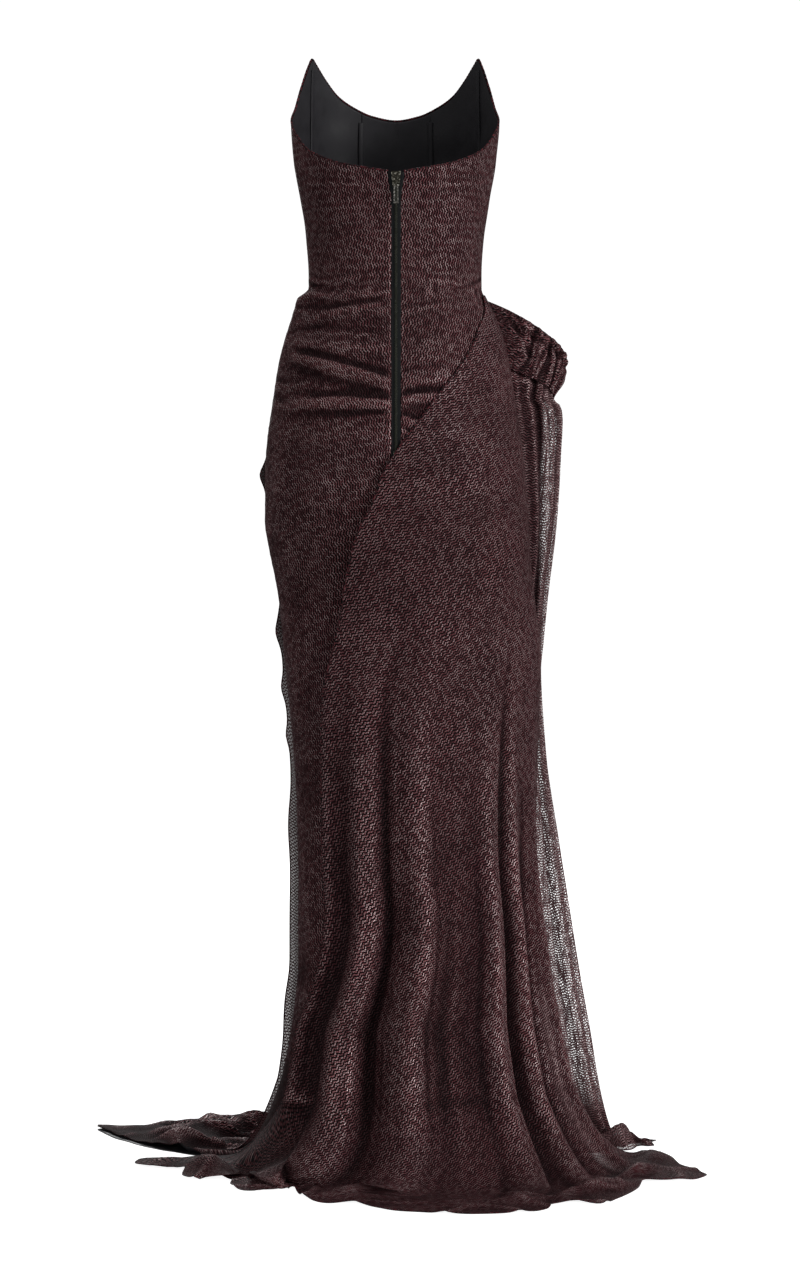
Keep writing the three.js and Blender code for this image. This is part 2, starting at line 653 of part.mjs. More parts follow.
// The heaps start this far left of the back and out from the body, clear of the layers above.
const HEAP_CLEAR = { angle: 95, byAngle: 101, reach: 246, byReach: 268 };
function skirtHeight(polar, reach) {
  const past = ease(-polar, HEAP_CLEAR.angle, HEAP_CLEAR.byAngle);
  const beyond = ease(reach, HEAP_CLEAR.reach, HEAP_CLEAR.byReach);
  return SKIRT_REST + past * beyond * billowRise(SKIRT_BILLOWS, polar, reach);
}
function skirtPanel(fromAngle, toAngle, columns, shared) {
  const heights = [-SEAM_GAP / 2, ...shared];
  const rows = layerRows(heights.length, TURN_ROWS, SKIRT_RUN_ROWS);
  return wall(columns, rows.count, SKIRT_WALL, (u, v) => {
    const step = rows.at(v, heights);
    const angle = turnInto(mix(fromAngle(step.up), toAngle(step.up), u));
    const foot = planSpot(angle, formAt(step.up), tuckRise(angle, step.up));
    if (step.turn === 0) return place(foot, step.up);
    const floor = onFloor(foot, hemSpot(angle, skirtHemAt(angle).reach), SKIRT_TURN, step, skirtHeight);
    return place(floor.plan, floor.up);
  });
}
const skirtZipEdge = (side) => (up) => {
  const closing = ease(ZIP_BOTTOM - ZIP_CLOSE.below - up, 0, ZIP_CLOSE.drop);
  return angleBeside(up, side * mix(ZIP_HALF + SEAM_GAP, SEAM_GAP / 2, closing));
};
const skirt = (name, from, to, columns, heights) =>
  add(name, skirtPanel(from, to, columns, heights), glitterMesh);
const { front: frontColumns, backRight: backRightColumns, backLeft: backLeftColumns } = SKIRT_COLUMNS;
skirt("skirt_front", seamAt(SKIRT_SEAM, 1), seamAt(360 - SKIRT_SEAM, -1), frontColumns, SKIRT_ROWS);
skirt("skirt_back_right", skirtZipEdge(1), seamAt(SKIRT_SEAM, -1), backRightColumns, SKIRT_ROWS);
skirt("skirt_back_left", seamAt(-SKIRT_SEAM, 1), skirtZipEdge(-1), backLeftColumns, TUCKED_ROWS);

const HEM_LINING_GRID = { columns: 18, rows: 2, fromReach: 165 };
const hemLiningSpot = (u, v) => {
  const angle = mix(HEM_LINING[0].angle, HEM_LINING[HEM_LINING.length - 1].angle, u);
  const reach = mix(HEM_LINING_GRID.fromReach, hemLiningAt(angle).reach, v);
  return place(hemSpot(angle, reach), FLOOR + LINING_WALL);
};
const hemLining = wall(HEM_LINING_GRID.columns, HEM_LINING_GRID.rows, LINING_WALL, hemLiningSpot);
add("hem_lining", hemLining, blackSatin);

// The two drapes: a fan of columns from the right waist, folds along them, and a train on the floor
function foldRise(folds, across, up) {
  return folds.reduce((sum, f) => {
    const grown = ease(f.from - up, 0, f.from - FLOOR - TURN_DROP);
    return sum + f.rise * grown * bell(across - f.across, f.half);
  }, 0);
}
const BACK_DRAPE_TURN = 88;
const BACK_DRAPE_RUN_ROWS = 4;
const FOLD_ON_FLOOR = 0.45; // how much of each fold's rise stands up in the turn
const backDrapeSteps = layerRows(SKIRT_ROWS.length, TURN_ROWS, BACK_DRAPE_RUN_ROWS);
const backDrapeSpot = (u, v) => {
  const step = backDrapeSteps.at(v, SKIRT_ROWS);
  const { up } = step;
  const form = formAt(up);
  const stands = backDrapeStandsAt(up);
  const ring = {
    left: form.left + stands.left,
    right: form.right + stands.right,
    back: form.back + stands.back,
    front: form.front + stands.right,
  };
  const edge = backDrapeEdgeAt(up).angle;
  const fold = foldRise(BACK_DRAPE_FOLDS, u, up);
  const foot = planSpot(mix(edge, BACK_DRAPE_RIGHT, u), ring, fold);
  if (step.turn === 0) return place(foot, up);
  const floorEdge = mix(edge, BACK_DRAPE_HEM_LEFT, ease((step.turn + step.run) / 2, 0, 1));
  const angle = mix(floorEdge, BACK_DRAPE_RIGHT, u);
  const standing = FOLD_ON_FLOOR * Math.max(fold, 0) * (1 - step.run) * step.turn;
  const height = (polar, reach) =>
    restOverSkirt(polar, reach) + billowRise(BACK_DRAPE_BILLOWS, polar, reach) + standing;
  const floor = onFloor(foot, hemSpot(angle, backDrapeHemAt(angle).reach), BACK_DRAPE_TURN, step, height);
  return place(floor.plan, floor.up);
};
const backDrapeColumns = foldColumns(BACK_DRAPE_FOLDS);
add("back_drape", wall(backDrapeColumns, backDrapeSteps.count, SKIRT_WALL, backDrapeSpot), glitterMesh);

const FRONT_DRAPE_TURN = SKIRT_TURN;
const FRONT_DRAPE_RUN_ROWS = 1;
const FRONT_DRAPE_COLUMNS = 17;
const FRONT_DRAPE_CLEAR = 3; // the least that the front drape stands off the underskirt
const frontDrapeSteps = layerRows(SKIRT_ROWS.length, TURN_ROWS, FRONT_DRAPE_RUN_ROWS);
const frontDrapeSpot = (u, v) => {
  const step = frontDrapeSteps.at(v, SKIRT_ROWS);
  const { up } = step;
  const form = formAt(up);
  const stands = frontDrapeStandsAt(up);
  const ring = {
    left: form.left + stands.left,
    right: form.right + stands.front,
    back: form.back,
    front: form.front + stands.front,
  };
  const angle = mix(FRONT_DRAPE_RIGHT, frontDrapeEdgeAt(up).angle, u);
  const wave = EDGE_WAVES.reduce((sum, w) => sum + w.rise * bell(up - w.up, w.half), 0);
  const fold = Math.max(foldRise(FRONT_DRAPE_FOLDS, u, up), FRONT_DRAPE_CLEAR - stands.front);
  const foot = planSpot(angle, ring, wave * bell(1 - u, EDGE_WAVE_SHARE) + fold);
  if (step.turn === 0) return place(foot, up);
  const hem = hemSpot(angle, frontDrapeHemAt(angle).reach);
  const floor = onFloor(foot, hem, FRONT_DRAPE_TURN, step, restOverSkirt);
  return place(floor.plan, floor.up);
};
add("front_drape", wall(FRONT_DRAPE_COLUMNS, frontDrapeSteps.count, SKIRT_WALL, frontDrapeSpot), glitterMesh);

// The hip loop in plan: a half ellipse that leans out from the hip between two places on the body, with
// pleats that die out at its two ends.
const LOOP_FADE = 6;
const LOOP_NUDGE = 0.01;
function loopPlan(share, up, pleats, rise, inset) {
  const form = formAt(up);
  const from = planSpot(LOOP.fromAngle, form, LOOP.off);
  const to = planSpot(LOOP.toAngle, form, LOOP.off);
  const middle = { side: (from.side + to.side) / 2, behind: (from.behind + to.behind) / 2 };
  const half = from.side - middle.side;
  const bulge = Math.sqrt((loopWidestAt(up).widest - middle.side) ** 2 - half ** 2) / LOOP.leanRight;
  const depth = from.behind - middle.behind;
  const smooth = (s) => {
    const along = Math.cos(s * Math.PI);
    const out = Math.sin(s * Math.PI) * bulge;
    return {
      side: middle.side + along * half + out * LOOP.leanRight,
      behind: middle.behind + along * depth - out * LOOP.leanFront,
    };
  };
  const here = smooth(share);
  const next = smooth(share + LOOP_NUDGE);
  const last = smooth(share - LOOP_NUDGE);
  const run = Math.hypot(next.side - last.side, next.behind - last.behind);
  const fade = Math.min(1, LOOP_FADE * share, LOOP_FADE * (1 - share));
  const wave = rise * Math.sin(share * pleats * 2 * Math.PI) * fade - inset;
  return {
    side: here.side - ((next.behind - last.behind) / run) * wave,
    behind: here.behind + ((next.side - last.side) / run) * wave,
  };
}
const loopArch = (share) => Math.sin(THREE.MathUtils.clamp(share, 0, 1) * Math.PI);
const loopFoot = (share) => RUFFLE.footAtBody - RUFFLE.footDrop * loopArch(share);
const loopRim = (share) => RUFFLE.rimAtBody - RUFFLE.rimDrop * loopArch(share) ** RUFFLE.rimCurve;

// The ruffle: its top edge turns inwards and down before the pleats run out to its foot.
const ruffleSpot = (u, v) => {
  const back = ease(v, 0, RUFFLE.returnShare);
  const down = Math.max(v - RUFFLE.returnShare, 0) / (1 - RUFFLE.returnShare);
  const rim = loopRim(u);
  const up = v < RUFFLE.returnShare ? rim - RUFFLE.returnDrop * (1 - back) ** 2 : mix(rim, loopFoot(u), down);
  const inset = (1 - back) * RUFFLE.returnIn * loopArch(u);
  const rise = RUFFLE.rise * (1 - RUFFLE.riseLoss * down);
  return place(loopPlan(u, up, RUFFLE.pleats, rise, inset), up);
};
add("hip_ruffle", wall(RUFFLE.pleats * PLEAT_COLUMNS, RUFFLE.rows, SKIRT_WALL, ruffleSpot), glitterMesh);

// The cascade: hangs from the ruffle's foot in soft folds and turns out on the floor, with one curl.
const CASCADE_HEIGHTS = SKIRT_ROWS.filter((up) => up < CASCADE.sharedBelow);
const cascadeSteps = layerRows(CASCADE_HEIGHTS.length + 2, CASCADE.turnRows, CASCADE.runRows);
const cascadeSpot = (u, v) => {
  const top = loopFoot(u) - CASCADE.topGap;
  const step = cascadeSteps.at(v, [top, (top + CASCADE_HEIGHTS[0]) / 2, ...CASCADE_HEIGHTS]);
  const { up } = step;
  const rise = mix(CASCADE.riseTop, CASCADE.riseFoot, ease(-up, -CASCADE.growFrom, -CASCADE.growTo));
  const foot = loopPlan(u, up, CASCADE.folds, rise, CASCADE.inset);
  if (step.turn === 0) return place(foot, up);
  const reach = Math.hypot(foot.side, foot.behind);
  const polar = Math.atan2(foot.side, foot.behind) / DEG;
  const curl = CASCADE.curlRise * bell(u - CASCADE.curlAt, CASCADE.curlHalf) * step.run ** CASCADE.curlPower;
  const height = (p, r) => restOverSkirt(p, r) + curl;
  const turn = mix(SKIRT_TURN, CASCADE.turn, loopArch(u));
  const floor = onFloor(foot, hemSpot(polar, reach + CASCADE.hemRun), turn, step, height);
  return place(floor.plan, floor.up);
};
const cascadeColumns = CASCADE.folds * PLEAT_COLUMNS;
add("hip_cascade", wall(cascadeColumns, cascadeSteps.count, SKIRT_WALL, cascadeSpot), glitterMesh);

// Zip: tape, coil, slider with its crown, foot stop, and the pull that turns on the crown
const ZIP_GRID = { columns: 2, rows: 14 };
const TAPE = { half: ZIP_HALF, out: 0.1, thickness: 0.8, top: ZIP_TOP, foot: ZIP_BOTTOM - 3 };
const COIL = { half: 3, out: 2, thickness: 1.5, top: ZIP_TOP - 2, foot: ZIP_BOTTOM + 4.6 };
function zipStrip(strip) {
  return wall(ZIP_GRID.columns, ZIP_GRID.rows, strip.thickness, (u, v) => {
    const up = THREE.MathUtils.clamp(mix(TAPE.top, TAPE.foot, v), strip.foot, strip.top);
    const angle = angleBeside(up, mix(-strip.half, strip.half, u));
    return place(planSpot(angle, formAt(up), strip.out), up);
  });
}
add("zip_tape", zipStrip(TAPE), blackTape);
add("zip_coil", zipStrip(COIL), blackTape);

const backAt = (up, out) => formAt(up).back + out;

// A flat plate over the zip between two heights, wider at one than at the other, that follows the
// back's slope.
function zipPlate(plate) {
  const geometry = new THREE.BoxGeometry(1, 1, 1);
  const corners = geometry.getAttribute("position");
  for (let k = 0; k < corners.count; k += 1) {
    const high = corners.getZ(k) > 0;
    const up = high ? plate.top : plate.foot;
    const across = corners.getX(k) * 2 * (high ? plate.topHalf : plate.footHalf);
    corners.setXYZ(k, across, backAt(up, corners.getY(k) > 0 ? plate.to : plate.from), up);
  }
  return geometry;
}

function toSolid(geometry) {
  const bare = new THREE.BufferGeometry().setAttribute("position", geometry.getAttribute("position"));
  bare.setIndex(geometry.index);
  const merged = mergeVertices(bare, SAME_POINT);
  const vertProperties = merged.getAttribute("position").array;
  const triVerts = new Uint32Array(merged.index.array);
  return new wasm.Manifold(new wasm.Mesh({ numProp: 3, vertProperties, triVerts }));
}
function toGeometry(solid) {
  const found = solid.getMesh();
  const geometry = new THREE.BufferGeometry();
  geometry.setAttribute("position", new THREE.Float32BufferAttribute(found.vertProperties, 3));
  geometry.setIndex([...found.triVerts]);
  geometry.computeVertexNormals();
  return geometry;
}

// A rectangle with a rectangular hole, as a flat shape.
function frameShape(outside, hole) {
  const corners = (r) => [
    new THREE.Vector2(r.left, r.low),
    new THREE.Vector2(r.right, r.low),
    new THREE.Vector2(r.right, r.high),
    new THREE.Vector2(r.left, r.high),
  ];
  const shape = new THREE.Shape(corners(outside));
  shape.holes.push(new THREE.Path(corners(hole).reverse()));
  return shape;
}

const STOP = { top: ZIP_BOTTOM + 4.1, foot: ZIP_BOTTOM, topHalf: 3.2, footHalf: 3.2, from: 0.5, to: 2.2 };
add("zip_stop", zipPlate(STOP), gunmetal);

const SLIDER = { top: 139, foot: 119.4, topHalf: 6, footHalf: 4, from: 2.4, to: 4.1 };
const HINGE = { up: 121.6, out: 5.7, radius: 0.65 };
const CROWN = { half: 0.8, low: 119.6, high: 128, out: 8, sunk: 0.7 };
const CROWN_HOLE = { low: 120.5, high: 126.4, out: 6.8, clear: 0.05 };
const PULL = { half: 3, slotHalf: 1.2, foot: 99.8, slotFoot: 102, slotDrop: 0.3, thick: 1.2 };
const BAR_SIDES = 12;
const hingeBehind = backAt(HINGE.up, HINGE.out);
const sliderFace = backAt(HINGE.up, SLIDER.to);

// The crown is an arch over the hinge bar, drawn from the side and as thick as its two halves.
const crownOutside = { left: sliderFace - CROWN.sunk, right: backAt(HINGE.up, CROWN.out), ...CROWN };
const crownInside = {
  left: sliderFace + CROWN_HOLE.clear,
  right: backAt(HINGE.up, CROWN_HOLE.out),
  ...CROWN_HOLE,
};
const crown = new THREE.ExtrudeGeometry(frameShape(crownOutside, crownInside), {
  depth: 2 * CROWN.half,
  bevelEnabled: false,
});
const sideways = new THREE.Matrix4().makeBasis(
  new THREE.Vector3(0, 1, 0),
  new THREE.Vector3(0, 0, 1),
  new THREE.Vector3(1, 0, 0),
);
crown.translate(0, 0, -CROWN.half).applyMatrix4(sideways);
add("zip_slider", toGeometry(toSolid(zipPlate(SLIDER)).add(toSolid(crown))), gunmetal);

// The pull is a flat frame whose upper end is the round bar that turns in the crown.
const pullOutside = { left: -PULL.half, right: PULL.half, low: PULL.foot, high: HINGE.up };
const slotTop = HINGE.up - PULL.slotDrop;
const pullSlot = { left: -PULL.slotHalf, right: PULL.slotHalf, low: PULL.slotFoot, high: slotTop };
const pullFrame = new THREE.ExtrudeGeometry(frameShape(pullOutside, pullSlot), {
  depth: PULL.thick,
  bevelEnabled: false,
});
pullFrame.rotateX(Math.PI / 2).translate(0, hingeBehind + PULL.thick / 2, 0);
const bar = new THREE.CylinderGeometry(HINGE.radius, HINGE.radius, 2 * PULL.half, BAR_SIDES);
bar.rotateZ(Math.PI / 2).translate(0, hingeBehind, HINGE.up);
add("zip_pull", toGeometry(toSolid(pullFrame).add(toSolid(bar))), gunmetal);

const gown = new THREE.Group();
gown.add(...meshes.values());
export default gown;
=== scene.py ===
"""A strapless gown of glitter net over black satin, with a back zip, a ruched hip, drapes and a train."""

import math

import bpy
import numpy as np
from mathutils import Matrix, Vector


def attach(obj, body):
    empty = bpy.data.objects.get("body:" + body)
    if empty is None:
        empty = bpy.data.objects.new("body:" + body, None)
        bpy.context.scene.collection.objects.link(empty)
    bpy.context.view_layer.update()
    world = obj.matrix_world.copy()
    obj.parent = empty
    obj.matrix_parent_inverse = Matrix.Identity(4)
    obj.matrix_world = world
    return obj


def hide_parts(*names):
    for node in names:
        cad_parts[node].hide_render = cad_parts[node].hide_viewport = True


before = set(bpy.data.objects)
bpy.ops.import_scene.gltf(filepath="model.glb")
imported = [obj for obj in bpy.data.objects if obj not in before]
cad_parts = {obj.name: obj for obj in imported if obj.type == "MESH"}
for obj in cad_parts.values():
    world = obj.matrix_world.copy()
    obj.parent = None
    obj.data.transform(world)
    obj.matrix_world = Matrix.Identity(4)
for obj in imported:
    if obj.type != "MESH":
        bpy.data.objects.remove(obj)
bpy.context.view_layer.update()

# Sizes in millimetres, as in the part; angles in degrees, 0 at centre back and 90 at the wearer's right.
MM = 0.001
FLOOR = -1087.5
TURN_DROP = 100.0
FOOT = FLOOR + TURN_DROP
LINING_WALL = 1.0
LAYER_GAP = 0.5
SKIRT_WALL = 1.4
SHELL_WALL = 1.6
NET = 0.5
SATIN = 0.4
ZIP_TOP = 138.0
ZIP_BOTTOM = -208.6
ZIP_OPEN = 5.9  # half the gap that shows the zip
ZIP_V = 3.8  # how much wider that half is at its top
BODICE_FOOT = -2.4
DRAPE_TOP = -8.0

# up, left, right, back, front
FORM = [
    (305, 129.2, 126.8, 84, 104), (250, 131.7, 129.3, 89, 113), (210, 131.2, 128.8, 92, 119),
    (157, 127.2, 124.8, 92, 122), (109, 118.7, 116.3, 89, 114), (60, 111.7, 109.3, 86, 100),
    (20, 109, 106.6, 84, 91), (0, 108.7, 106.3, 83.5, 90), (-12, 123, 110.5, 88, 93),
    (-25, 127, 117, 92, 95), (-58, 136.7, 130.5, 102, 100), (-90, 145.6, 138.5, 111, 104),
    (-152, 156, 148, 122.5, 109), (-191, 160.4, 153, 126.5, 110), (-239, 163.4, 157.5, 126, 109),
    (-287, 163.2, 161, 120.5, 107), (-322, 158.8, 161.5, 116.5, 105.5), (-399, 145, 155, 108.5, 103),
    (-471, 138, 148, 103, 101.5), (-590, 127.5, 134, 99, 100), (-640, 124.5, 130, 98.5, 101),
    (-760, 122.3, 126, 98.5, 103), (-840, 122.3, 126, 100, 106), (-890, 127, 129, 104, 110),
    (-940, 134, 135, 110, 115), (FOOT, 143, 143, 118, 122),
]
# angle, up
NECKLINE = [
    (0, 138), (17, 144.5), (29, 149), (42, 156.5), (59, 170.5), (73, 190.5), (90, 210), (104, 226),
    (115, 258), (121.5, 283), (125, 293), (128.5, 287), (137, 268), (146, 249), (156, 236), (167, 226),
    (180, 221), (193, 226),
]
BUST = {"angle": 145, "up": 150, "wide": 24, "tall": 52, "rise": 9}
TUCK_START = (1, 6)  # the angles beside the zip between which a tuck rises
# from angle, from up, to angle, to up, rise, half
TUCKS = [
    (-3, -9, -62, -5, 2.6, 7), (-3, -30, -66, -42, 2.4, 8), (-3, -78, -74, -64, 2.2, 9),
    (-3, -122, -58, -86, 4.4, 9), (-3, -147, -50, -144, 3.6, 8), (3, -120, 30, -112, 1.2, 7),
    (3, -142, 22, -138, 1.4, 6), (3, -168, 12, -170, 1.2, 6),
]
# angle, reach
SKIRT_HEM = [
    (-180, 208), (-165, 218), (-155, 250), (-141, 320), (-130, 386), (-125.5, 428), (-122, 463),
    (-118, 424), (-115, 400), (-111, 366), (-107, 336), (-101, 294), (-95, 260), (-88, 238), (-80, 225),
    (-60, 212), (0, 208), (90, 215), (180, 208),
]
# angle, reach, wide, long, rise
SKIRT_BILLOWS = [
    (-133, 290, 13, 38, 22), (-127, 350, 6, 30, 13), (-107, 282, 6, 26, 15), (-116, 330, 4, 34, 11),
    (-121, 395, 2.6, 40, 6),
]
# angle, reach
HEM_LINING = [
    (-150, 262), (-140, 312), (-128, 380), (-120.7, 454), (-117.5, 431), (-115, 411), (-112.3, 391),
    (-109.7, 367), (-107, 348), (-101, 306), (-96, 270), (-92, 250),
]
HEM_LINING_START = 165.0
# up, left, right, back
BACK_DRAPE_STANDS = [
    (-8, 2.5, 2.5, 2.5), (-60, 2.6, 2.6, 2.6), (-146, 3, 2.6, 3), (-208, 4.4, 4.2, 4.4), (-267, 5, 4.4, 8),
    (-322, 8, 6, 16), (-399, 15, 20, 31), (-444, 19, 30, 41), (-520, 21, 38, 52), (-640, 26, 50, 68),
    (-800, 34, 60, 88), (-870, 40, 66, 96), (-930, 46, 70, 101), (FOOT, 50, 73, 107),
]
# up, angle
BACK_DRAPE_EDGE = [
    (-8, 76), (-28, 66), (-52, 51), (-75, 42.7), (-99, 33.6), (-122, 24.7), (-144, 17.4), (-173, 8.4),
    (-208, -0.9), (-233, -6), (-268, -10), (-300, -15.7), (-355, -21.6), (-425, -26.7), (-513, -35.4),
    (-588, -36.7), (-702, -35.6), (-768, -33.4), (-815, -35), (-863, -38.9), (-912, -43), (FOOT, -43),
]
BACK_DRAPE_RIGHT = 95
BACK_DRAPE_HEM_LEFT = -86
BACK_DRAPE_TURN = 88
# across, half, rise, from
BACK_DRAPE_FOLDS = [
    (0.02, 0.03, 9, -300), (0.15, 0.045, 21, -380), (0.235, 0.028, -17, -330), (0.34, 0.052, 24, -300),
    (0.425, 0.03, -5, -700), (0.49, 0.055, -7, -500), (0.575, 0.036, 15, -420), (0.642, 0.018, -18, -380),
    (0.69, 0.026, 13, -430), (0.755, 0.022, -17, -560), (0.84, 0.036, 14, -480), (0.93, 0.024, -8, -600),
]
# angle, reach
BACK_DRAPE_HEM = [
    (-86, 322), (-81, 328), (-75, 315), (-71, 288), (-66, 284), (-60, 299), (-55, 297), (-52, 270),
    (-47, 270), (-42, 296), (-36, 309), (-33, 300), (-30, 264), (-28, 266), (-20, 317), (-13.4, 348),
    (-9, 344), (-6, 354), (0, 391), (4.5, 402), (10, 419), (17, 425), (22, 425), (25, 416), (28, 396),
    (31, 394), (35, 419), (40, 404), (44, 392), (51, 373), (57, 358), (61, 382), (66, 402), (69.5, 404),
    (73, 388), (80, 356), (90, 340), (95, 334),
]
# angle, reach, wide, long, rise
BACK_DRAPE_BILLOWS = [
    (-62, 262, 9, 22, 22), (-79, 286, 4, 30, 6), (-36, 262, 7, 20, 9), (-8, 318, 10, 12, 7),
    (18, 376, 12, 14, 7), (44, 352, 8, 14, 13), (62, 330, 7, 12, 15), (84, 322, 7, 16, 10),
]
# up, left, front
FRONT_DRAPE_STANDS = [
    (-8, 2.4, 2.4), (-120, 2.6, 3), (-300, 2.8, 5), (-399, 4.6, 8), (-471, 5.4, 12), (-590, 6.6, 20),
    (-776, 12.4, 31), (-874, 11.6, 35), (-939, 8.6, 37), (FOOT, 6.6, 39.5),
]
# up, angle
FRONT_DRAPE_EDGE = [
    (-8, 166), (-60, 196), (-120, 226), (-180, 249), (-216, 263), (-232, 266.5), (-248, 262), (-275, 254),
    (-380, 254), (-412, 261), (FOOT, 262),
]
FRONT_DRAPE_RIGHT = 151
# across, half, rise, from
FRONT_DRAPE_FOLDS = [
    (0.1, 0.05, 12, -300), (0.3, 0.06, 15, -340), (0.42, 0.03, -9, -420), (0.55, 0.05, 12, -380),
    (0.78, 0.05, 7, -460),
]
# up, half, rise
EDGE_WAVES = [
    (-231, 12, 4.6), (-428, 17, 6), (-498, 15, 4.4), (-558, 13, 3.4), (-668, 42, 4), (-900, 34, 2.4),
]
EDGE_WAVE_SHARE = 0.13
# angle, reach
FRONT_DRAPE_HEM = [(151, 240), (180, 242), (215, 232), (240, 220), (262, 217)]
# up, widest
LOOP_WIDEST = [
    (0, 214), (-84, 216), (-112, 212), (-136, 199), (-146, 208), (-165, 210), (-224, 207), (-287, 202),
    (-384, 190), (-444, 184), (-475, 181), (-565, 187), (-637, 193), (-792, 215), (-874, 228), (-939, 240),
    (FOOT, 248),
]
LOOP_FROM, LOOP_TO, LOOP_LEAN_RIGHT, LOOP_LEAN_FRONT, LOOP_OFF = 99, 147, 0.95, 0.3, 2.6
SKIRT_TURN = 62


def mix(a, b, t):
    """From a at 0 to b at 1, in a straight line."""
    return a + (b - a) * t


def bell(distance, half):
    """e to minus the square of distance over half."""
    return np.exp(-((distance / half) ** 2))


def ease(x, low, high):
    """0 below low, 1 above high, and 3 t squared minus 2 t cubed between them."""
    t = np.clip((x - low) / (high - low), 0, 1)
    return t * t * (3 - 2 * t)


def turn_into(angle):
    """Any angle as -180 to 180."""
    return np.mod(np.asarray(angle, float) + 180, 360) - 180


def curve(rows):
    """A curve through a table that never overshoots it: cubics whose slope at each row is the harmonic mean
    of the slopes at its two sides, or none at a peak. Returns a function of the first column."""
    table = np.array(sorted(rows), float)
    keys, values = table[:, 0], table[:, 1:]
    spans = np.diff(keys)
    rise = np.diff(values, axis=0) / spans[:, None]
    before, after = np.vstack([rise[:1], rise]), np.vstack([rise, rise[-1:]])
    same_way = before * after > 0
    slopes = np.where(same_way, 2 * before * after / np.where(same_way, before + after, 1), 0)

    def at(key):
        key = np.clip(key, keys[0], keys[-1])
        i = np.clip(np.searchsorted(keys, key, side="right") - 1, 0, len(spans) - 1)
        span = spans[i][..., None]
        t = (key - keys[i])[..., None] / span
        a, b = values[i], values[i + 1]
        slope = (t**3 - 2 * t**2 + t) * slopes[i] + (t**3 - t**2) * slopes[i + 1]
        found = a + (b - a) * (3 * t**2 - 2 * t**3) + slope * span
        return tuple(np.moveaxis(found, -1, 0))

    return at


form_at = curve(FORM)
neckline_at = curve(NECKLINE)
skirt_hem_at = curve(SKIRT_HEM)
hem_lining_at = curve(HEM_LINING)
back_stands_at = curve(BACK_DRAPE_STANDS)
back_edge_at = curve(BACK_DRAPE_EDGE)
back_hem_at = curve(BACK_DRAPE_HEM)
front_stands_at = curve(FRONT_DRAPE_STANDS)
front_edge_at = curve(FRONT_DRAPE_EDGE)
front_hem_at = curve(FRONT_DRAPE_HEM)
loop_widest_at = curve(LOOP_WIDEST)


def ring_spot(angle, form, out=0.0):
    """A place round the body: sin(angle) times its half width, and cos(angle) times its depth."""
    left, right, back, front = form
    turned = np.radians(turn_into(angle))
    across = np.where(turned < 0, left, right) + out
    deep = np.where(np.cos(turned) > 0, back, front) + out
    return across * np.sin(turned), deep * np.cos(turned)


def place(side, behind, up):
    """Points from the way to the wearer's right, the way behind and the height."""
    return np.stack(np.broadcast_arrays(-side, behind, up), -1)


def ripple(x, y, seed, size, count=7):
    """Smooth unevenness from -1 to 1: waves in seeded directions, about size long, added together."""
    draw = np.random.default_rng(seed)
    total = 0
    for _ in range(count):
        turn, phase, stretch = draw.uniform(0, 2 * math.pi), draw.uniform(0, 6.28), draw.uniform(0.6, 1.5)
        total = total + np.sin((x * math.cos(turn) + y * math.sin(turn)) * 6.28 / (size * stretch) + phase)
    return total / count**0.5 / 1.6


def creases(x, y, seed, size):
    """Soft ridges where a ripple passes through zero: 1 on the ridge, falling to 0 beside it."""
    return np.clip(1 - 2.2 * np.abs(ripple(x, y, seed, size)), 0, 1) ** 2


def facing(points):
    """Unit normals of a grid: the way down crossed with the way round, which points outwards."""
    down = np.gradient(points, axis=0)
    round_ = np.gradient(points, axis=1)
    normal = np.cross(down, round_)
    return normal / np.maximum(np.linalg.norm(normal, axis=-1, keepdims=True), 1e-9)


def lifted(points, amount, rest=0.0):
    """The grid moved along its normals by amount, and nowhere lower than rest above the floor."""
    moved = points + facing(points) * amount[..., None]
    moved[..., 2] = np.maximum(moved[..., 2], FLOOR + NET + 0.1 + rest)
    return moved


def unrolled(points, anchor, bias):
    """Cloth coordinates in metres. Across is the length along each row from the anchor column, and down is
    the length along each column. Both are turned by the bias."""
    steps = np.linalg.norm(np.diff(points, axis=1), axis=-1)
    across = np.hstack([np.zeros((len(points), 1)), np.cumsum(steps, axis=1)])
    column = int(round(anchor * (points.shape[1] - 1)))
    across = across - across[:, column : column + 1]
    falls = np.linalg.norm(np.diff(points, axis=0), axis=-1)
    down = np.vstack([np.zeros((1, points.shape[1])), np.cumsum(falls, axis=0)]) - points[:1, :, 2]
    c, s = math.cos(math.radians(bias)), math.sin(math.radians(bias))
    return np.stack([across * c + down * s, down * c - across * s], -1) * MM


def softened(points, rows, columns):
    """The grid averaged over so many rows and columns each way, its edges repeated outside it."""
    for axis, reach in ((0, rows), (1, columns)):
        wide = np.pad(points, [(reach, reach) if a == axis else (0, 0) for a in range(3)], mode="edge")
        count = points.shape[axis]
        points = sum(wide.take(range(i, i + count), axis) for i in range(2 * reach + 1)) / (2 * reach + 1)
    return points


def raised_share(points, reach):
    """How far the cloth stands above its surroundings, near and far, from -1 in a valley to 1 on a ridge.
    Reach is the rows that count as near, the columns that count as far, and the far height that is 1."""
    normal = facing(points)
    near = ((points - softened(points, reach[0], 3)) * normal).sum(-1)
    far = ((points - softened(points, 0, reach[1])) * normal).sum(-1)
    return near / 1.1 + far / reach[2]


def point_values(mesh, name, values):
    """A number for each point, which a material reads by name."""
    layer = mesh.attributes.new(name, "FLOAT", "POINT")
    layer.data.foreach_set("value", np.ascontiguousarray(values.reshape(-1), np.float32))


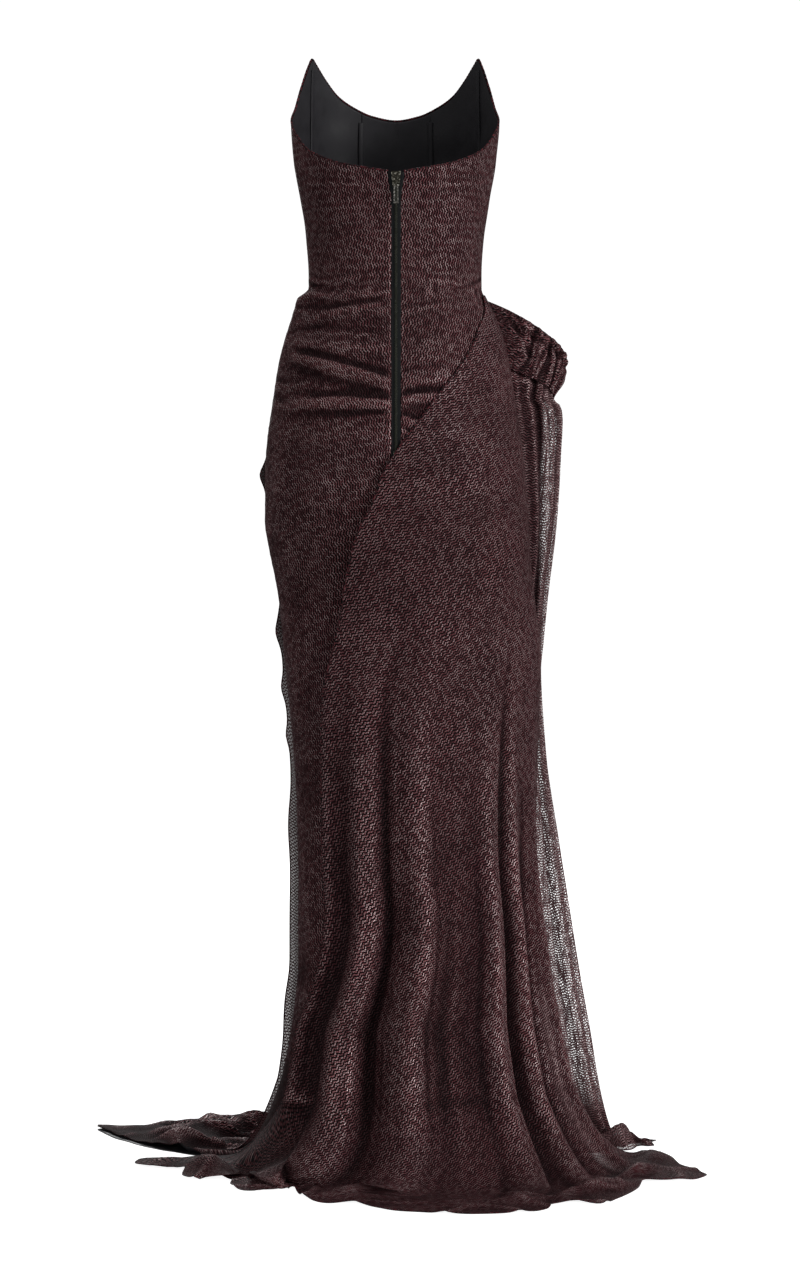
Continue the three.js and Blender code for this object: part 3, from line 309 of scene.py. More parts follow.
def quads(rows, columns, closed=False):
    """The four-sided faces of a grid, facing outwards. Closed joins the last column to the first."""
    spots = np.arange(rows * columns).reshape(rows, columns)
    if closed:
        spots = np.hstack([spots, spots[:, :1]])
    a, b, c, d = spots[:-1, :-1], spots[:-1, 1:], spots[1:, 1:], spots[1:, :-1]
    return np.stack([a, d, c, b], -1).reshape(-1, 4)


def listed_mesh(name, points, faces):
    """A smooth mesh from points in millimetres and a list of faces."""
    mesh = bpy.data.meshes.new(name)
    mesh.from_pydata((points.reshape(-1, 3) * MM).tolist(), [], faces)
    mesh.polygons.foreach_set("use_smooth", np.ones(len(faces), bool))
    mesh.update()
    return mesh


def grid_mesh(name, points, cloth=None, closed=False):
    """A grid of points as a smooth mesh, with its cloth coordinates as the UV map."""
    rows, columns = points.shape[:2]
    faces = quads(rows, columns, closed)
    mesh = bpy.data.meshes.new(name)
    mesh.vertices.add(rows * columns)
    mesh.vertices.foreach_set("co", (points.reshape(-1) * MM).astype(np.float32))
    mesh.loops.add(faces.size)
    mesh.loops.foreach_set("vertex_index", faces.reshape(-1).astype(np.int32))
    mesh.polygons.add(len(faces))
    mesh.polygons.foreach_set("loop_start", np.arange(0, faces.size, 4, dtype=np.int32))
    mesh.update(calc_edges=True)
    if cloth is not None:
        layer = mesh.uv_layers.new(name="cloth")
        layer.data.foreach_set("uv", cloth.reshape(-1, 2)[faces.reshape(-1)].reshape(-1).astype(np.float32))
    mesh.polygons.foreach_set("use_smooth", np.ones(len(faces), bool))
    return mesh


def add_piece(name, mesh, materials, nodes=(), body="gown"):
    """A piece of the gown, in place of the nodes that it covers."""
    piece = bpy.data.objects.new(name, mesh)
    bpy.context.scene.collection.objects.link(piece)
    for material in materials:
        mesh.materials.append(material)
    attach(piece, body)
    if nodes:
        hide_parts(*nodes)
    return piece


def cloth_piece(
    name, points, materials, nodes, anchor=0.5, bias=0, thick=NET, reach=(4, 8, 5.0),
    shade=0.0, sheer=0.0,
):
    """A sheet: the grid is its outer face, and the wall grows inwards. A second material faces the inside.
    Shade is painted shade, darkening it where it lies in other cloth's shadow, and sheer says how open its
    holes are, by point. How far each point stands above its surroundings goes to the material for painted
    shade in valleys and painted highlights on ridges, both weaker near the floor."""
    mesh = grid_mesh(name, points, unrolled(points, anchor, bias))
    # painted shade and highlights: the relief is weakened near the floor, and the painted shade is taken off
    # it
    calm = 1 - 0.65 * ease(-points[..., 2], 930, 1060)
    point_values(mesh, "relief_for_painted_light", np.clip(raised_share(points, reach) * calm - shade, -1, 1))
    point_values(mesh, "sheer", np.broadcast_to(sheer, points.shape[:2]))
    piece = add_piece(name, mesh, materials, nodes)
    wall = piece.modifiers.new("wall", "SOLIDIFY")
    wall.thickness = thick * MM
    wall.offset = -1
    wall.use_even_offset = False
    wall.material_offset = len(materials) - 1
    return piece


def tube(path, radius, normals, sides=8):
    """A round profile carried along a path: each ring lies across the path, turned by the cloth's normal."""
    along = np.gradient(path, axis=0)
    along /= np.maximum(np.linalg.norm(along, axis=1, keepdims=True), 1e-9)
    beside = np.cross(along, normals)
    beside /= np.maximum(np.linalg.norm(beside, axis=1, keepdims=True), 1e-9)
    above = np.cross(beside, along)
    turn = np.linspace(0, 2 * math.pi, sides, endpoint=False)
    ring = np.cos(turn)[None, :, None] * beside[:, None] + np.sin(turn)[None, :, None] * above[:, None]
    return path[:, None] + ring * np.reshape(radius, (-1, 1, 1))


def tube_mesh(name, path, radius, normals, sides=8):
    """A tube's mesh, with both ends closed."""
    rings = tube(path, radius, normals, sides)
    last = (len(rings) - 1) * sides
    ends = [list(range(sides)), list(range(last + sides - 1, last - 1, -1))]
    return listed_mesh(name, rings, quads(len(rings), sides, True).tolist() + ends)


# Node boards


class Board:
    """Adds and joins nodes: a value is put on a socket, or another socket is linked to it."""

    def __init__(self, tree):
        self.tree = tree

    def put(self, socket, value):
        if isinstance(value, bpy.types.NodeSocket):
            self.tree.links.new(value, socket)
        else:
            socket.default_value = value

    def add(self, kind, inputs=None, **settings):
        node = self.tree.nodes.new(kind)
        for name, value in settings.items():
            setattr(node, name, value)
        for name, value in (inputs or {}).items():
            self.put(node.inputs[name], value)
        return node

    def math(self, operation, *values, clamp=False):
        return self.add(
            "ShaderNodeMath", dict(enumerate(values)), operation=operation, use_clamp=clamp
        ).outputs[0]

    def ramp(self, value, low, high, to_low=0.0, to_high=1.0):
        """A smooth step: to_low below low and to_high above high."""
        inputs = {"Value": value, "From Min": low, "From Max": high, "To Min": to_low, "To Max": to_high}
        return self.add("ShaderNodeMapRange", inputs, interpolation_type="SMOOTHSTEP").outputs[0]

    def blend(self, share, a, b):
        """Two colours mixed."""
        node = self.add("ShaderNodeMix", {0: share}, data_type="RGBA")
        self.put(node.inputs[6], a)
        self.put(node.inputs[7], b)
        return node.outputs[2]

    def noise(self, scale, detail):
        """Noise on the piece's own coordinates."""
        where = self.add("ShaderNodeTexCoord").outputs["Object"]
        return self.add("ShaderNodeTexNoise", {"Vector": where, "Scale": scale, "Detail": detail}).outputs[0]

    def relief(self, shader, strength, distance, height):
        """Bumps, distance metres high where height is 1."""
        inputs = {"Strength": strength, "Distance": distance, "Height": height}
        self.put(shader.inputs["Normal"], self.add("ShaderNodeBump", inputs).outputs[0])


def make_group(name, inputs, outputs):
    """A shader node group with named sockets: inputs are name to (kind, value), outputs name to kind."""
    group = bpy.data.node_groups.new(name, "ShaderNodeTree")
    for socket, (kind, value) in inputs.items():
        made = group.interface.new_socket(socket, in_out="INPUT", socket_type="NodeSocket" + kind)
        if value is not None:
            made.default_value = value
    for socket, kind in outputs.items():
        group.interface.new_socket(socket, in_out="OUTPUT", socket_type="NodeSocket" + kind)
    board = Board(group)
    return group, board, board.add("NodeGroupInput"), board.add("NodeGroupOutput")


def zigzag_net():
    """Wavy rows of thread. A row's place is (down + depth * zigzag(across / length)) / spacing: its whole
    part numbers the row, and its fraction says where the thread and the gap beside it lie. Bridges cross
    the gap a mesh apart, staggered from row to row. Each mesh has a silver dash, as bright as white noise
    says, and a little brighter on one leg of the zigzag: painted light, as if that leg faced the lamp."""
    inputs = {
        "Cloth": ("Vector", None), "Spacing": ("Float", 3.4), "Length": ("Float", 10.0),
        "Depth": ("Float", 1.15), "Mesh": ("Float", 3.1), "Thread": ("Float", 0.5),
    }
    outputs = {"Thread": "Float", "Silver": "Float", "Wine": "Float", "Height": "Float"}
    group, b, given, out = make_group("zigzag_net", inputs, outputs)
    drift = b.add("ShaderNodeTexNoise", {"Vector": given.outputs["Cloth"], "Scale": 16.0, "Detail": 1.0})
    tone = b.add("ShaderNodeSeparateColor", {"Color": drift.outputs["Color"]})
    cloth = b.add("ShaderNodeSeparateXYZ", {"Vector": given.outputs["Cloth"]})
    across = b.math("MULTIPLY_ADD", cloth.outputs[0], 1000.0, b.math("MULTIPLY", tone.outputs[0], 14.0))
    down = b.math("MULTIPLY_ADD", cloth.outputs[1], 1000.0, b.math("MULTIPLY", tone.outputs[1], 10.0))
    phase = b.math("DIVIDE", across, given.outputs["Length"])
    zigzag = b.math("MULTIPLY_ADD", b.math("PINGPONG", phase, 0.5), 4.0, -1.0)
    waved = b.math("MULTIPLY_ADD", given.outputs["Depth"], zigzag, down)
    row = b.math("DIVIDE", waved, given.outputs["Spacing"])
    number = b.math("FLOOR", row)
    part = b.math("SUBTRACT", row, number)
    off = b.math("MULTIPLY", b.math("ABSOLUTE", b.math("SUBTRACT", part, 0.5)), 2.0)
    strand = b.ramp(b.math("SUBTRACT", off, given.outputs["Thread"]), -0.12, 0.12, 1.0, 0.0)
    below = b.math("FLOOR", b.math("ADD", row, 0.5))
    cell = b.math("ADD", b.math("DIVIDE", across, given.outputs["Mesh"]), b.math("MULTIPLY", below, 0.5))
    bridge = b.ramp(b.math("PINGPONG", cell, 0.5), 0.1, 0.16, 1.0, 0.0)
    thread = b.math("MAXIMUM", strand, b.math("MULTIPLY", bridge, 0.7))
    spot = b.add("ShaderNodeCombineXYZ", {0: b.math("FLOOR", cell), 1: number})
    chance = b.add("ShaderNodeTexWhiteNoise", {"Vector": spot.outputs[0]}, noise_dimensions="2D").outputs[0]
    # painted light: the dash is a little brighter on one leg of the zigzag, as if that leg faced the lamp
    leg = b.math("SINE", b.math("MULTIPLY", phase, 6.2832))
    dash = b.ramp(b.math("PINGPONG", cell, 0.5), 0.2, 0.38)
    bright = b.ramp(b.math("MULTIPLY_ADD", leg, 0.14, chance), 0.05, 1.1, 0.14, 1.0)
    silver = b.math("MULTIPLY", strand, b.math("MULTIPLY", dash, bright))
    wine = b.math("MULTIPLY", strand, b.ramp(chance, 0.0, 0.5, 0.45, 1.0))
    height = b.math("MULTIPLY", thread, b.math("SUBTRACT", 1.0, b.math("MULTIPLY", off, off)))
    for name, value in (("Thread", thread), ("Silver", silver), ("Wine", wine), ("Height", height)):
        b.put(out.inputs[name], value)
    return group


def cloth_weave():
    """A fine woven face: two waves across each other, broken up by noise."""
    inputs = {"Vector": ("Vector", None), "Scale": ("Float", 2600.0), "Slubs": ("Float", 60.0)}
    group, b, given, out = make_group("cloth_weave", inputs, {"Height": "Float", "Tone": "Float"})
    scaled = {0: given.outputs["Vector"], 3: given.outputs["Scale"]}
    over = b.add("ShaderNodeVectorMath", scaled, operation="SCALE")
    axes = b.add("ShaderNodeSeparateXYZ", {"Vector": over.outputs[0]})
    warp = b.math("SINE", b.math("ADD", axes.outputs[0], axes.outputs[1]))
    weft = b.math("SINE", axes.outputs[2])
    uneven = {"Vector": given.outputs["Vector"], "Scale": given.outputs["Slubs"], "Detail": 4.0}
    slubs = b.add("ShaderNodeTexNoise", uneven).outputs[0]
    b.put(out.inputs["Height"], b.math("MULTIPLY_ADD", b.math("MULTIPLY", warp, weft), 0.5, slubs))
    b.put(out.inputs["Tone"], slubs)
    return group


NET_GROUP = zigzag_net()
WEAVE_GROUP = cloth_weave()


def new_material(name):
    """A material, its board and its principled shader."""
    material = bpy.data.materials.new(name)
    material.use_nodes = True
    board = Board(material.node_tree)
    shader = next(n for n in material.node_tree.nodes if n.type == "BSDF_PRINCIPLED")
    return material, board, shader


def net_material(name, sheer):
    """Glitter net: wine and silver thread in wavy rows, with painted shade in the valleys of the cloth and
    painted highlights on its ridges. A sheer net's holes are open by the share its points say, and there its
    thread is painted lighter and given a painted glow, as if lit through from behind."""
    material, b, shader = new_material(name)
    cloth = b.add("ShaderNodeUVMap", uv_map="cloth")
    net = b.add("ShaderNodeGroup", {"Cloth": cloth.outputs[0]}, node_tree=NET_GROUP)
    patches = b.noise(14.0, 3.0)
    relief_for_painted_light = b.add("ShaderNodeAttribute", attribute_name="relief_for_painted_light").outputs["Fac"]
    # painted shade: the colour falls towards the dark of the gaps in the cloth's valleys, and is darker in
    # random patches
    depth = b.math("MULTIPLY", b.ramp(relief_for_painted_light, -0.9, 0.4, 0.24, 1.0), b.ramp(patches, 0.3, 0.7, 0.72, 1.0))
    # painted highlight: the wine is lighter on the cloth's ridges
    wine = b.blend(b.ramp(relief_for_painted_light, 0.15, 0.9), (*WINE, 1), (*RIDGE_HIGHLIGHT_WINE, 1))
    if sheer:
        open_ = b.add("ShaderNodeAttribute", attribute_name="sheer").outputs["Fac"]
        # painted light: where the net is open its thread is lighter and glows, as if lit from behind
        wine = b.blend(open_, wine, (*LIT_WINE, 1))
        hole = b.ramp(net.outputs["Thread"], 0.3, 0.85, 1.0, 0.0)
        b.put(shader.inputs["Emission Color"], b.blend(open_, (0, 0, 0, 1), (*LIT_WINE, 1)))
        shader.inputs["Emission Strength"].default_value = THREAD_GLOW
        b.put(shader.inputs["Alpha"], b.math("SUBTRACT", 1.0, b.math("MULTIPLY", hole, open_), clamp=True))
    threads = b.blend(net.outputs["Wine"], (*GAP_AND_SHADE_DARK, 1), wine)
    # painted highlight: the silver dashes are brighter on the cloth's ridges and dimmer in its valleys
    bright = b.math("MULTIPLY", net.outputs["Silver"], b.ramp(relief_for_painted_light, -0.5, 0.8, 0.35, 1.0))
    lit = b.blend(bright, threads, (*SILVER, 1))
    b.put(shader.inputs["Base Color"], b.blend(depth, (*GAP_AND_SHADE_DARK, 1), lit))
    b.put(shader.inputs["Roughness"], b.ramp(bright, 0.0, 0.8, 0.8, 0.4))
    b.put(shader.inputs["Metallic"], b.math("MULTIPLY", bright, 0.4))
    b.relief(shader, 0.6, 0.0005, net.outputs["Height"])
    shader.inputs["Specular IOR Level"].default_value = 0.03
    return material


def edge_material(name):
    """The net rolled on itself along an edge: dark, with fine wine flecks."""
    material, b, shader = new_material(name)
    flecks = b.noise(420.0, 3.0)
    b.put(shader.inputs["Base Color"], b.blend(b.ramp(flecks, 0.45, 0.65), (*GAP_AND_SHADE_DARK, 1), (*WINE, 1)))
    b.put(shader.inputs["Roughness"], b.ramp(flecks, 0.3, 0.7, 0.75, 0.5))
    b.relief(shader, 0.5, 0.0005, flecks)
    shader.inputs["Specular IOR Level"].default_value = 0.12
    return material


def satin_material(name, colour, rough):
    """Fine woven cloth, 2.2 times lighter and a little rougher on its slubs."""
    material, b, shader = new_material(name)
    where = b.add("ShaderNodeTexCoord").outputs["Object"]
    weave = b.add("ShaderNodeGroup", {"Vector": where}, node_tree=WEAVE_GROUP)
    slub = [2.2 * c for c in colour]
    b.put(shader.inputs["Base Color"], b.blend(weave.outputs["Tone"], (*colour, 1), (*slub, 1)))
    b.put(shader.inputs["Roughness"], b.ramp(weave.outputs["Tone"], 0.3, 0.7, rough - 0.06, rough + 0.08))
    b.relief(shader, 0.25, 0.0002, weave.outputs["Height"])
    shader.inputs["Specular IOR Level"].default_value = 0.18
    return material


def metal_material(name, colour, worn, rough):
    """Plated metal, worn bright in smudges."""
    material, b, shader = new_material(name)
    smudge = b.noise(480.0, 5.0)
    b.put(shader.inputs["Base Color"], b.blend(b.ramp(smudge, 0.5, 0.66), (*colour, 1), (*worn, 1)))
    b.put(shader.inputs["Roughness"], b.ramp(smudge, 0.3, 0.7, rough - 0.08, rough + 0.12))
    b.relief(shader, 0.3, 0.0002, smudge)
    shader.inputs["Metallic"].default_value = 1.0
    return material


# the dark between the threads, also used as the painted shade in the cloth's valleys
GAP_AND_SHADE_DARK = (0.0045, 0.003, 0.0034)
WINE = (0.102, 0.0175, 0.0235)
# painted highlight: a lighter wine for the thread on the cloth's ridges
RIDGE_HIGHLIGHT_WINE = (0.18, 0.042, 0.05)
# painted light: a lighter wine and a glow for the thread where a sheer net is open, as if lit from behind
LIT_WINE = (0.17, 0.085, 0.09)
THREAD_GLOW = 0.16
SILVER = (0.58, 0.49, 0.485)
lined_net = net_material("glitter_net_lined", False)
sheer_net = net_material("glitter_net_sheer", True)
edge_net = edge_material("glitter_net_edge")
satin = satin_material("black_satin", (0.0125, 0.0118, 0.0135), 0.55)
tape = satin_material("black_zip_tape", (0.0035, 0.004, 0.0045), 0.7)
nylon = satin_material("black_nylon", (0.017, 0.018, 0.013), 0.3)
gunmetal = metal_material("gunmetal", (0.07, 0.066, 0.05), (0.62, 0.59, 0.5), 0.28)
worn_gunmetal = metal_material("gunmetal_worn", (0.2, 0.19, 0.17), (0.85, 0.82, 0.76), 0.22)


# Bodice


def grid(rows, columns, crowd=1.0):
    """Shares down and across, from 0 to 1: u across and v down. Crowd above 1 packs rows towards the top."""
    v, u = np.meshgrid(np.linspace(0, 1, rows + 1) ** crowd, np.linspace(0, 1, columns + 1), indexing="ij")
    return u, v


def angle_beside(up, across):
    """The angle at which the form is so many millimetres beside centre back: the arcsine of the share."""
    left, right, _, _ = form_at(up)
    return np.degrees(np.arcsin(across / np.where(np.asarray(across) < 0, left, right)))


def tuck_rise(angle, up):
    """Soft ridges from the zip: each is rise times a bell across it, and fades past its far end."""
    total = 0
    for from_angle, from_up, to_angle, to_up, rise, half in TUCKS:
        along = (angle - from_angle) / (to_angle - from_angle)
        fade = 1 - ease(along, 0.75, 1.35)
        side = np.where(to_angle * angle > 0, ease(np.abs(angle), *TUCK_START), 0)
        total = total + rise * fade * side * bell(up - mix(from_up, to_up, along), half)
    return total


def level_out(points):
    """Unit steps straight away from the middle of the body, at each point's own height."""
    out = points * [1, 1, 0]
    return out / np.linalg.norm(out, axis=1, keepdims=True)


def bodice_spot(angle, up, out):
    """The form at a height, with the bust's fullness added, moved out."""
    fullness = bell(np.abs(turn_into(angle)) - BUST["angle"], BUST["wide"])
    bust = BUST["rise"] * fullness * bell(up - BUST["up"], BUST["tall"])
    side, behind = ring_spot(angle, form_at(up), out + bust)
    return place(side, behind, up)


# from angle, from up, to angle, to up, bow, rise, half: folds pulled from the zip, and over the waist
PULLED_FOLDS = [
    (-2, -121, -60, -87, 6, 3.4, 4.4), (-2, -146, -44, -144, 4, 2.8, 3.4),
    (-2, -112, -30, -102, 3, 0.8, 2.6), (-6, -24, -52, -40, 2, 1.3, 4.6), (-86, 2, -30, -15, -2, 1.8, 4.6),
    (-84, -28, -34, -31, -2, 1.0, 4.2), (-88, 12, -44, 4, 0, 0.6, 3.6), (-2, 18, -58, 6, -3, 0.5, 3.6),
    (-2, -66, -70, -58, 3, 0.6, 4.2), (-2, -160, -30, -166, 0, 0.8, 3.4),
    (-86, -118, -46, -124, -2, 0.8, 4.4), (-80, -142, -50, -152, 0, 0.6, 4.0),
    (2, -141, 26, -137, 3, 2.6, 3.4), (2, -163, 13, -171, 0, 1.9, 2.8), (2, -112, 30, -104, 2, 0.5, 3.6),
    (2, 14, 60, 2, -2, 0.5, 3.6), (86, 8, 42, -8, -2, 1.2, 4.0), (2, -34, 44, -24, 2, 0.6, 4.0),
    (2, -176, 8, -186, 0, 1.3, 2.4), (-3, 119, -84, 132, 0, 0.4, 3.6), (3, 118, 84, 133, 0, 0.4, 3.4),
    (3, 60, 70, 54, 0, 0.25, 4.0), (-88, 52, -30, 40, 0, 0.3, 5.0), (96, -14, 164, -40, 3, 1.7, 4.6),
    (97, -52, 172, -84, 4, 2.6, 4.8), (98, -96, 160, -122, 2, 1.8, 4.2), (98, 6, 142, 0, 0, 0.8, 3.8),
    (-97, -42, -168, -30, -2, 1.2, 4.4), (-96, -92, -160, -104, 2, 1.5, 4.8),
    (-96, -8, -146, -14, 0, 0.9, 4.0), (-94, 12, -138, 5, 0, 0.6, 3.8), (97, -140, 144, -158, 2, 1.0, 4.2),
    (-95, 64, -142, 50, 0, 0.3, 4.6), (96, 58, 140, 46, 0, 0.3, 4.6),
]


# the same on the front drape, across the front from the hip ruffle
FRONT_FOLDS = [
    (148, -24, 238, -58, 4, 1.6, 5.0), (148, -64, 248, -112, 6, 2.3, 5.4),
    (148, -104, 226, -158, 4, 1.6, 5.2), (148, -38, 190, -46, 1, 0.9, 4.4),
    (148, -84, 204, -104, 2, 1.1, 4.6), (148, -140, 214, -206, 3, 1.0, 5.4),
]


def pulled_folds(angle, up, rows=PULLED_FOLDS):
    """Folds between two places, bowed between them: a bell for the ridge less a smaller one for the valley
    above it. Each fades at both ends."""
    total = 0
    for from_angle, from_up, to_angle, to_up, bow, rise, half in rows:
        along = (angle - from_angle) / (to_angle - from_angle)
        fade = ease(along, -0.02, 0.12) * (1 - ease(along, 0.6, 1.15))
        off = up - mix(from_up, to_up, along) - 4 * bow * along * (1 - along)
        total = total + rise * fade * (bell(off, half) - 0.6 * bell(off - 1.8 * half, 0.9 * half))
    return total


def bodice_points(from_angle, to_angle, columns, out, drop, wrinkle):
    """A bodice panel between two seams, from a drop below the neckline to the waist: the form moved out,
    with folds, ripples and a bell of gathers added along its normal, and its foot turned in."""
    u, v = grid(SHELL_ROWS, columns)
    top_angle = mix(from_angle(ZIP_TOP), to_angle(ZIP_TOP), u)
    (top,) = neckline_at(np.abs(turn_into(top_angle)))
    up = mix(top - drop, BODICE_FOOT, v)
    angle = mix(from_angle(up), to_angle(up), u)
    points = bodice_spot(angle, up, out)
    turned = turn_into(angle)
    drift = wrinkle * ripple(turned * 2, up, 11, 60)
    gather = wrinkle * bell(up - 3, 12) * ripple(turned * 2, up * 0.3, 5, 16)
    tucked = 0.5 * ease(-up, -1.0, 1.6)
    return lifted(points, pulled_folds(turned, up) + drift + gather - tucked)


def fixed(angle):
    """A seam that keeps its angle all the way down."""
    return lambda up: np.full_like(np.asarray(up, float), angle)


def zip_half(up):
    """Half the gap that shows the zip: it opens in a V beside the slider."""
    return ZIP_OPEN + ZIP_V * ease(np.asarray(up, float), 106, 138)


def turned_edge(off):
    """A panel's folded edge beside the zip: a bell 1.3 mm in from it, less a smaller one on it."""
    return 0.55 * bell(off - 1.3, 1.3) - 0.5 * bell(off, 0.6)


def beside_zip(side):
    """The edge beside the zip, on the wearer's right where side is 1 and on the left where it is -1."""
    return lambda up: angle_beside(up, side * zip_half(up))


SHELL_ROWS = 120
BACK, SIDE, FRONT = 88, 125, 160
# name, from, to, columns, flat size, flat area
SHELL = [
    ("back_right", beside_zip(1), fixed(BACK), 80, (0.158, 0.213), 0.0255),
    ("side_right", fixed(BACK), fixed(SIDE), 44, (0.085, 0.3), 0.018),
    ("front_right", fixed(SIDE), fixed(FRONT), 44, (0.088, 0.3), 0.0195),
    ("front_centre", fixed(FRONT), fixed(360 - FRONT), 44, (0.094, 0.234), 0.0195),
    ("front_left", fixed(360 - FRONT), fixed(360 - SIDE), 44, (0.088, 0.3), 0.0195),
    ("side_left", fixed(360 - SIDE), fixed(360 - BACK), 44, (0.085, 0.3), 0.018),
    ("back_left", fixed(-BACK), beside_zip(-1), 80, (0.158, 0.213), 0.0255),
]
for name, start, end, columns, flat, area in SHELL:
    points = bodice_points(start, end, columns, 0, 0, 0.35)
    if "back" in name:
        anchor = 0.0 if "right" in name else 1.0
        points = lifted(points, turned_edge(np.abs(points[..., 0]) - zip_half(points[..., 2])))
    else:
        anchor = 0.5
    piece = cloth_piece(
        "bodice_net_" + name, points, [lined_net, satin], ["bodice_" + name], anchor, 90
    )

LINING_OUT = -(SHELL_WALL + LAYER_GAP)
for name, start, end, columns, flat, area in SHELL[1:-1]:
    points = bodice_points(start, end, columns, LINING_OUT, 2.2, 0.8)
    piece = cloth_piece(
        "lining_satin_" + name, points, [satin], ["lining_" + name], thick=SATIN
    )

# bone channels: flattened tubes inside the lining's seams, from under the neckline to the waist
CHANNEL = {"drop": 14, "foot": 4, "rings": 60, "half": 3.5, "depth": 1.1, "flatness": 0.72}
BONED_SEAMS = [
    ("side_right", SIDE), ("front_right", FRONT), ("front_left", 360 - FRONT), ("side_left", 360 - SIDE),
]
for name, angle in BONED_SEAMS:
    (top,) = neckline_at(np.abs(turn_into(np.array([angle]))))
    up = np.linspace(top[0] - CHANNEL["drop"], CHANNEL["foot"], CHANNEL["rings"])
    spot = bodice_spot(np.full_like(up, angle), up, LINING_OUT - SATIN - CHANNEL["depth"])
    outwards = level_out(spot)
    rings = tube(spot, np.full(len(up), CHANNEL["half"]), outwards, 16)
    across = outwards[:, None]
    outward_part = ((rings - spot[:, None]) * across).sum(-1, keepdims=True) * across
    rings = rings - CHANNEL["flatness"] * outward_part
    mesh = grid_mesh("bone_channel_satin_" + name, rings, None, closed=True)
    add_piece(mesh.name, mesh, [satin], ["bone_channel_" + name])

round_ = np.linspace(beside_zip(1)(ZIP_TOP), 360 + beside_zip(-1)(ZIP_TOP), 900)
(rim_up,) = neckline_at(np.abs(turn_into(round_)))
rim = bodice_spot(round_, rim_up - 0.4, -0.9)
rim_radius = 1.25 + 0.12 * np.sin(round_ * 4.2)
binding = tube_mesh("neckline_binding", rim, rim_radius, level_out(rim), 10)
add_piece(binding.name, binding, [edge_net])


# Skirt layers that reach the floor


def fall(v, top, wall_share, turn_share):
    """Where a place down a layer lies: its height on the wall, its share of the turn and of the run."""
    up = mix(top, FOOT, np.clip(v / wall_share, 0, 1))
    turn = np.clip((v - wall_share) / turn_share, 0, 1)
    run = np.clip((v - wall_share - turn_share) / (1 - wall_share - turn_share), 0, 1)
    return up, turn, run


def on_floor(foot, hem, turn_length, up, turn, run, height_at, swing=0.0):
    """Out over the floor from the foot of a wall: a parabola down through the turn, then level to the hem.
    Swing bows the way there towards the front."""
    length = np.hypot(hem[0] - foot[0], hem[1] - foot[1])
    share = (turn * turn_length + run * np.maximum(length - turn_length, 1)) / length
    side, behind = mix(foot[0], hem[0], share), mix(foot[1], hem[1], share)
    behind = behind - swing * np.sin(math.pi * np.clip(share, 0, 1) ** 0.8)
    rest = height_at(np.degrees(np.arctan2(side, behind)), np.hypot(side, behind))
    floor_up = FLOOR + mix(TURN_DROP, rest, 1 - (1 - turn) ** 2)
    return place(side, behind, np.where(turn > 0, floor_up, up))


def hem_spot(angle, reach):
    """A place on the floor: reach times the sine and the cosine of its angle."""
    return reach * np.sin(np.radians(angle)), reach * np.cos(np.radians(angle))


def billow_rise(rows, polar, reach):
    """Soft heaps: each is rise times a bell round the body times a bell outwards."""
    return sum(rise * bell(polar - a, wide) * bell(reach - r, long_) for a, r, wide, long_, rise in rows)


SKIRT_REST = LINING_WALL + LAYER_GAP + SKIRT_WALL


def rest_over_skirt(polar, reach):
    """What an upper layer rests on: the underskirt inside its hem, and the floor outside it."""
    (hem,) = skirt_hem_at(polar)
    return SKIRT_WALL + (1 - ease(reach - hem, 8, 40)) * (SKIRT_REST + 1)


def skirt_height(polar, reach):
    """How high the underskirt lies: over the hem lining, and heaped on the train's tongue alone."""
    clear = ease(-polar, 95, 101) * ease(reach, 246, 268)
    return SKIRT_REST + clear * billow_rise(SKIRT_BILLOWS, polar, reach)


SKIRT_SEAM = 90
SKIRT_ROWS = 300


def skirt_relief(angle, up, turn, run, points):
    """How far the underskirt stands off its plain form: pulled folds, creases, gathers under the waist,
    crumples where it lies on the floor, and its folded edge beside the zip."""
    x, y = points[..., 0], points[..., 1]
    fine = pulled_folds(angle, up) + 0.35 * creases(angle * 2, up * 1.6, 24, 34) * ease(-up, -6, 20)
    gather = bell(up + 6, 12) * ripple(angle * 2, up * 0.25, 21, 15) * 0.8
    drift = 0.7 * ripple(angle * 2, up * 0.5, 22, 70)
    crumple = creases(x * 0.7, y, 23, 90) * 9 + ripple(x, y, 25, 60) * 3
    heap = ease(turn + run, 0.3, 1.3) * crumple * ease(-angle, 80, 100)
    heap = heap * (1 - 0.75 * ease(np.hypot(x, y), 310, 400))
    beside = np.where((up > ZIP_BOTTOM - 8) & (np.abs(angle) < 90), 1, 0)
    fold = beside * turned_edge(np.abs(x) - ZIP_OPEN)
    return fine + gather + drift + heap + fold


def skirt_points(from_angle, to_angle, columns):
    """A skirt panel between two seams: down the form to its foot, then out over the floor to its hem."""
    u, v = grid(SKIRT_ROWS, columns, 1.7)
    up, turn, run = fall(v, 1.0, 0.72, 0.1)
    angle = turn_into(mix(from_angle(up), to_angle(up), u))
    foot = ring_spot(angle, form_at(up), tuck_rise(angle, up))
    (reach,) = skirt_hem_at(angle)
    points = on_floor(foot, hem_spot(angle, reach), SKIRT_TURN, up, turn, run, skirt_height)
    return lifted(points, skirt_relief(angle, up, turn, run, points), LINING_WALL + 0.4)


def skirt_zip_edge(side):
    """The edge beside the zip, which closes to a seam below it."""

    def edge(up):
        closing = ease(ZIP_BOTTOM - 6.4 - up, 0, 30)
        return angle_beside(up, side * mix(ZIP_OPEN, 0.0, closing))

    return edge


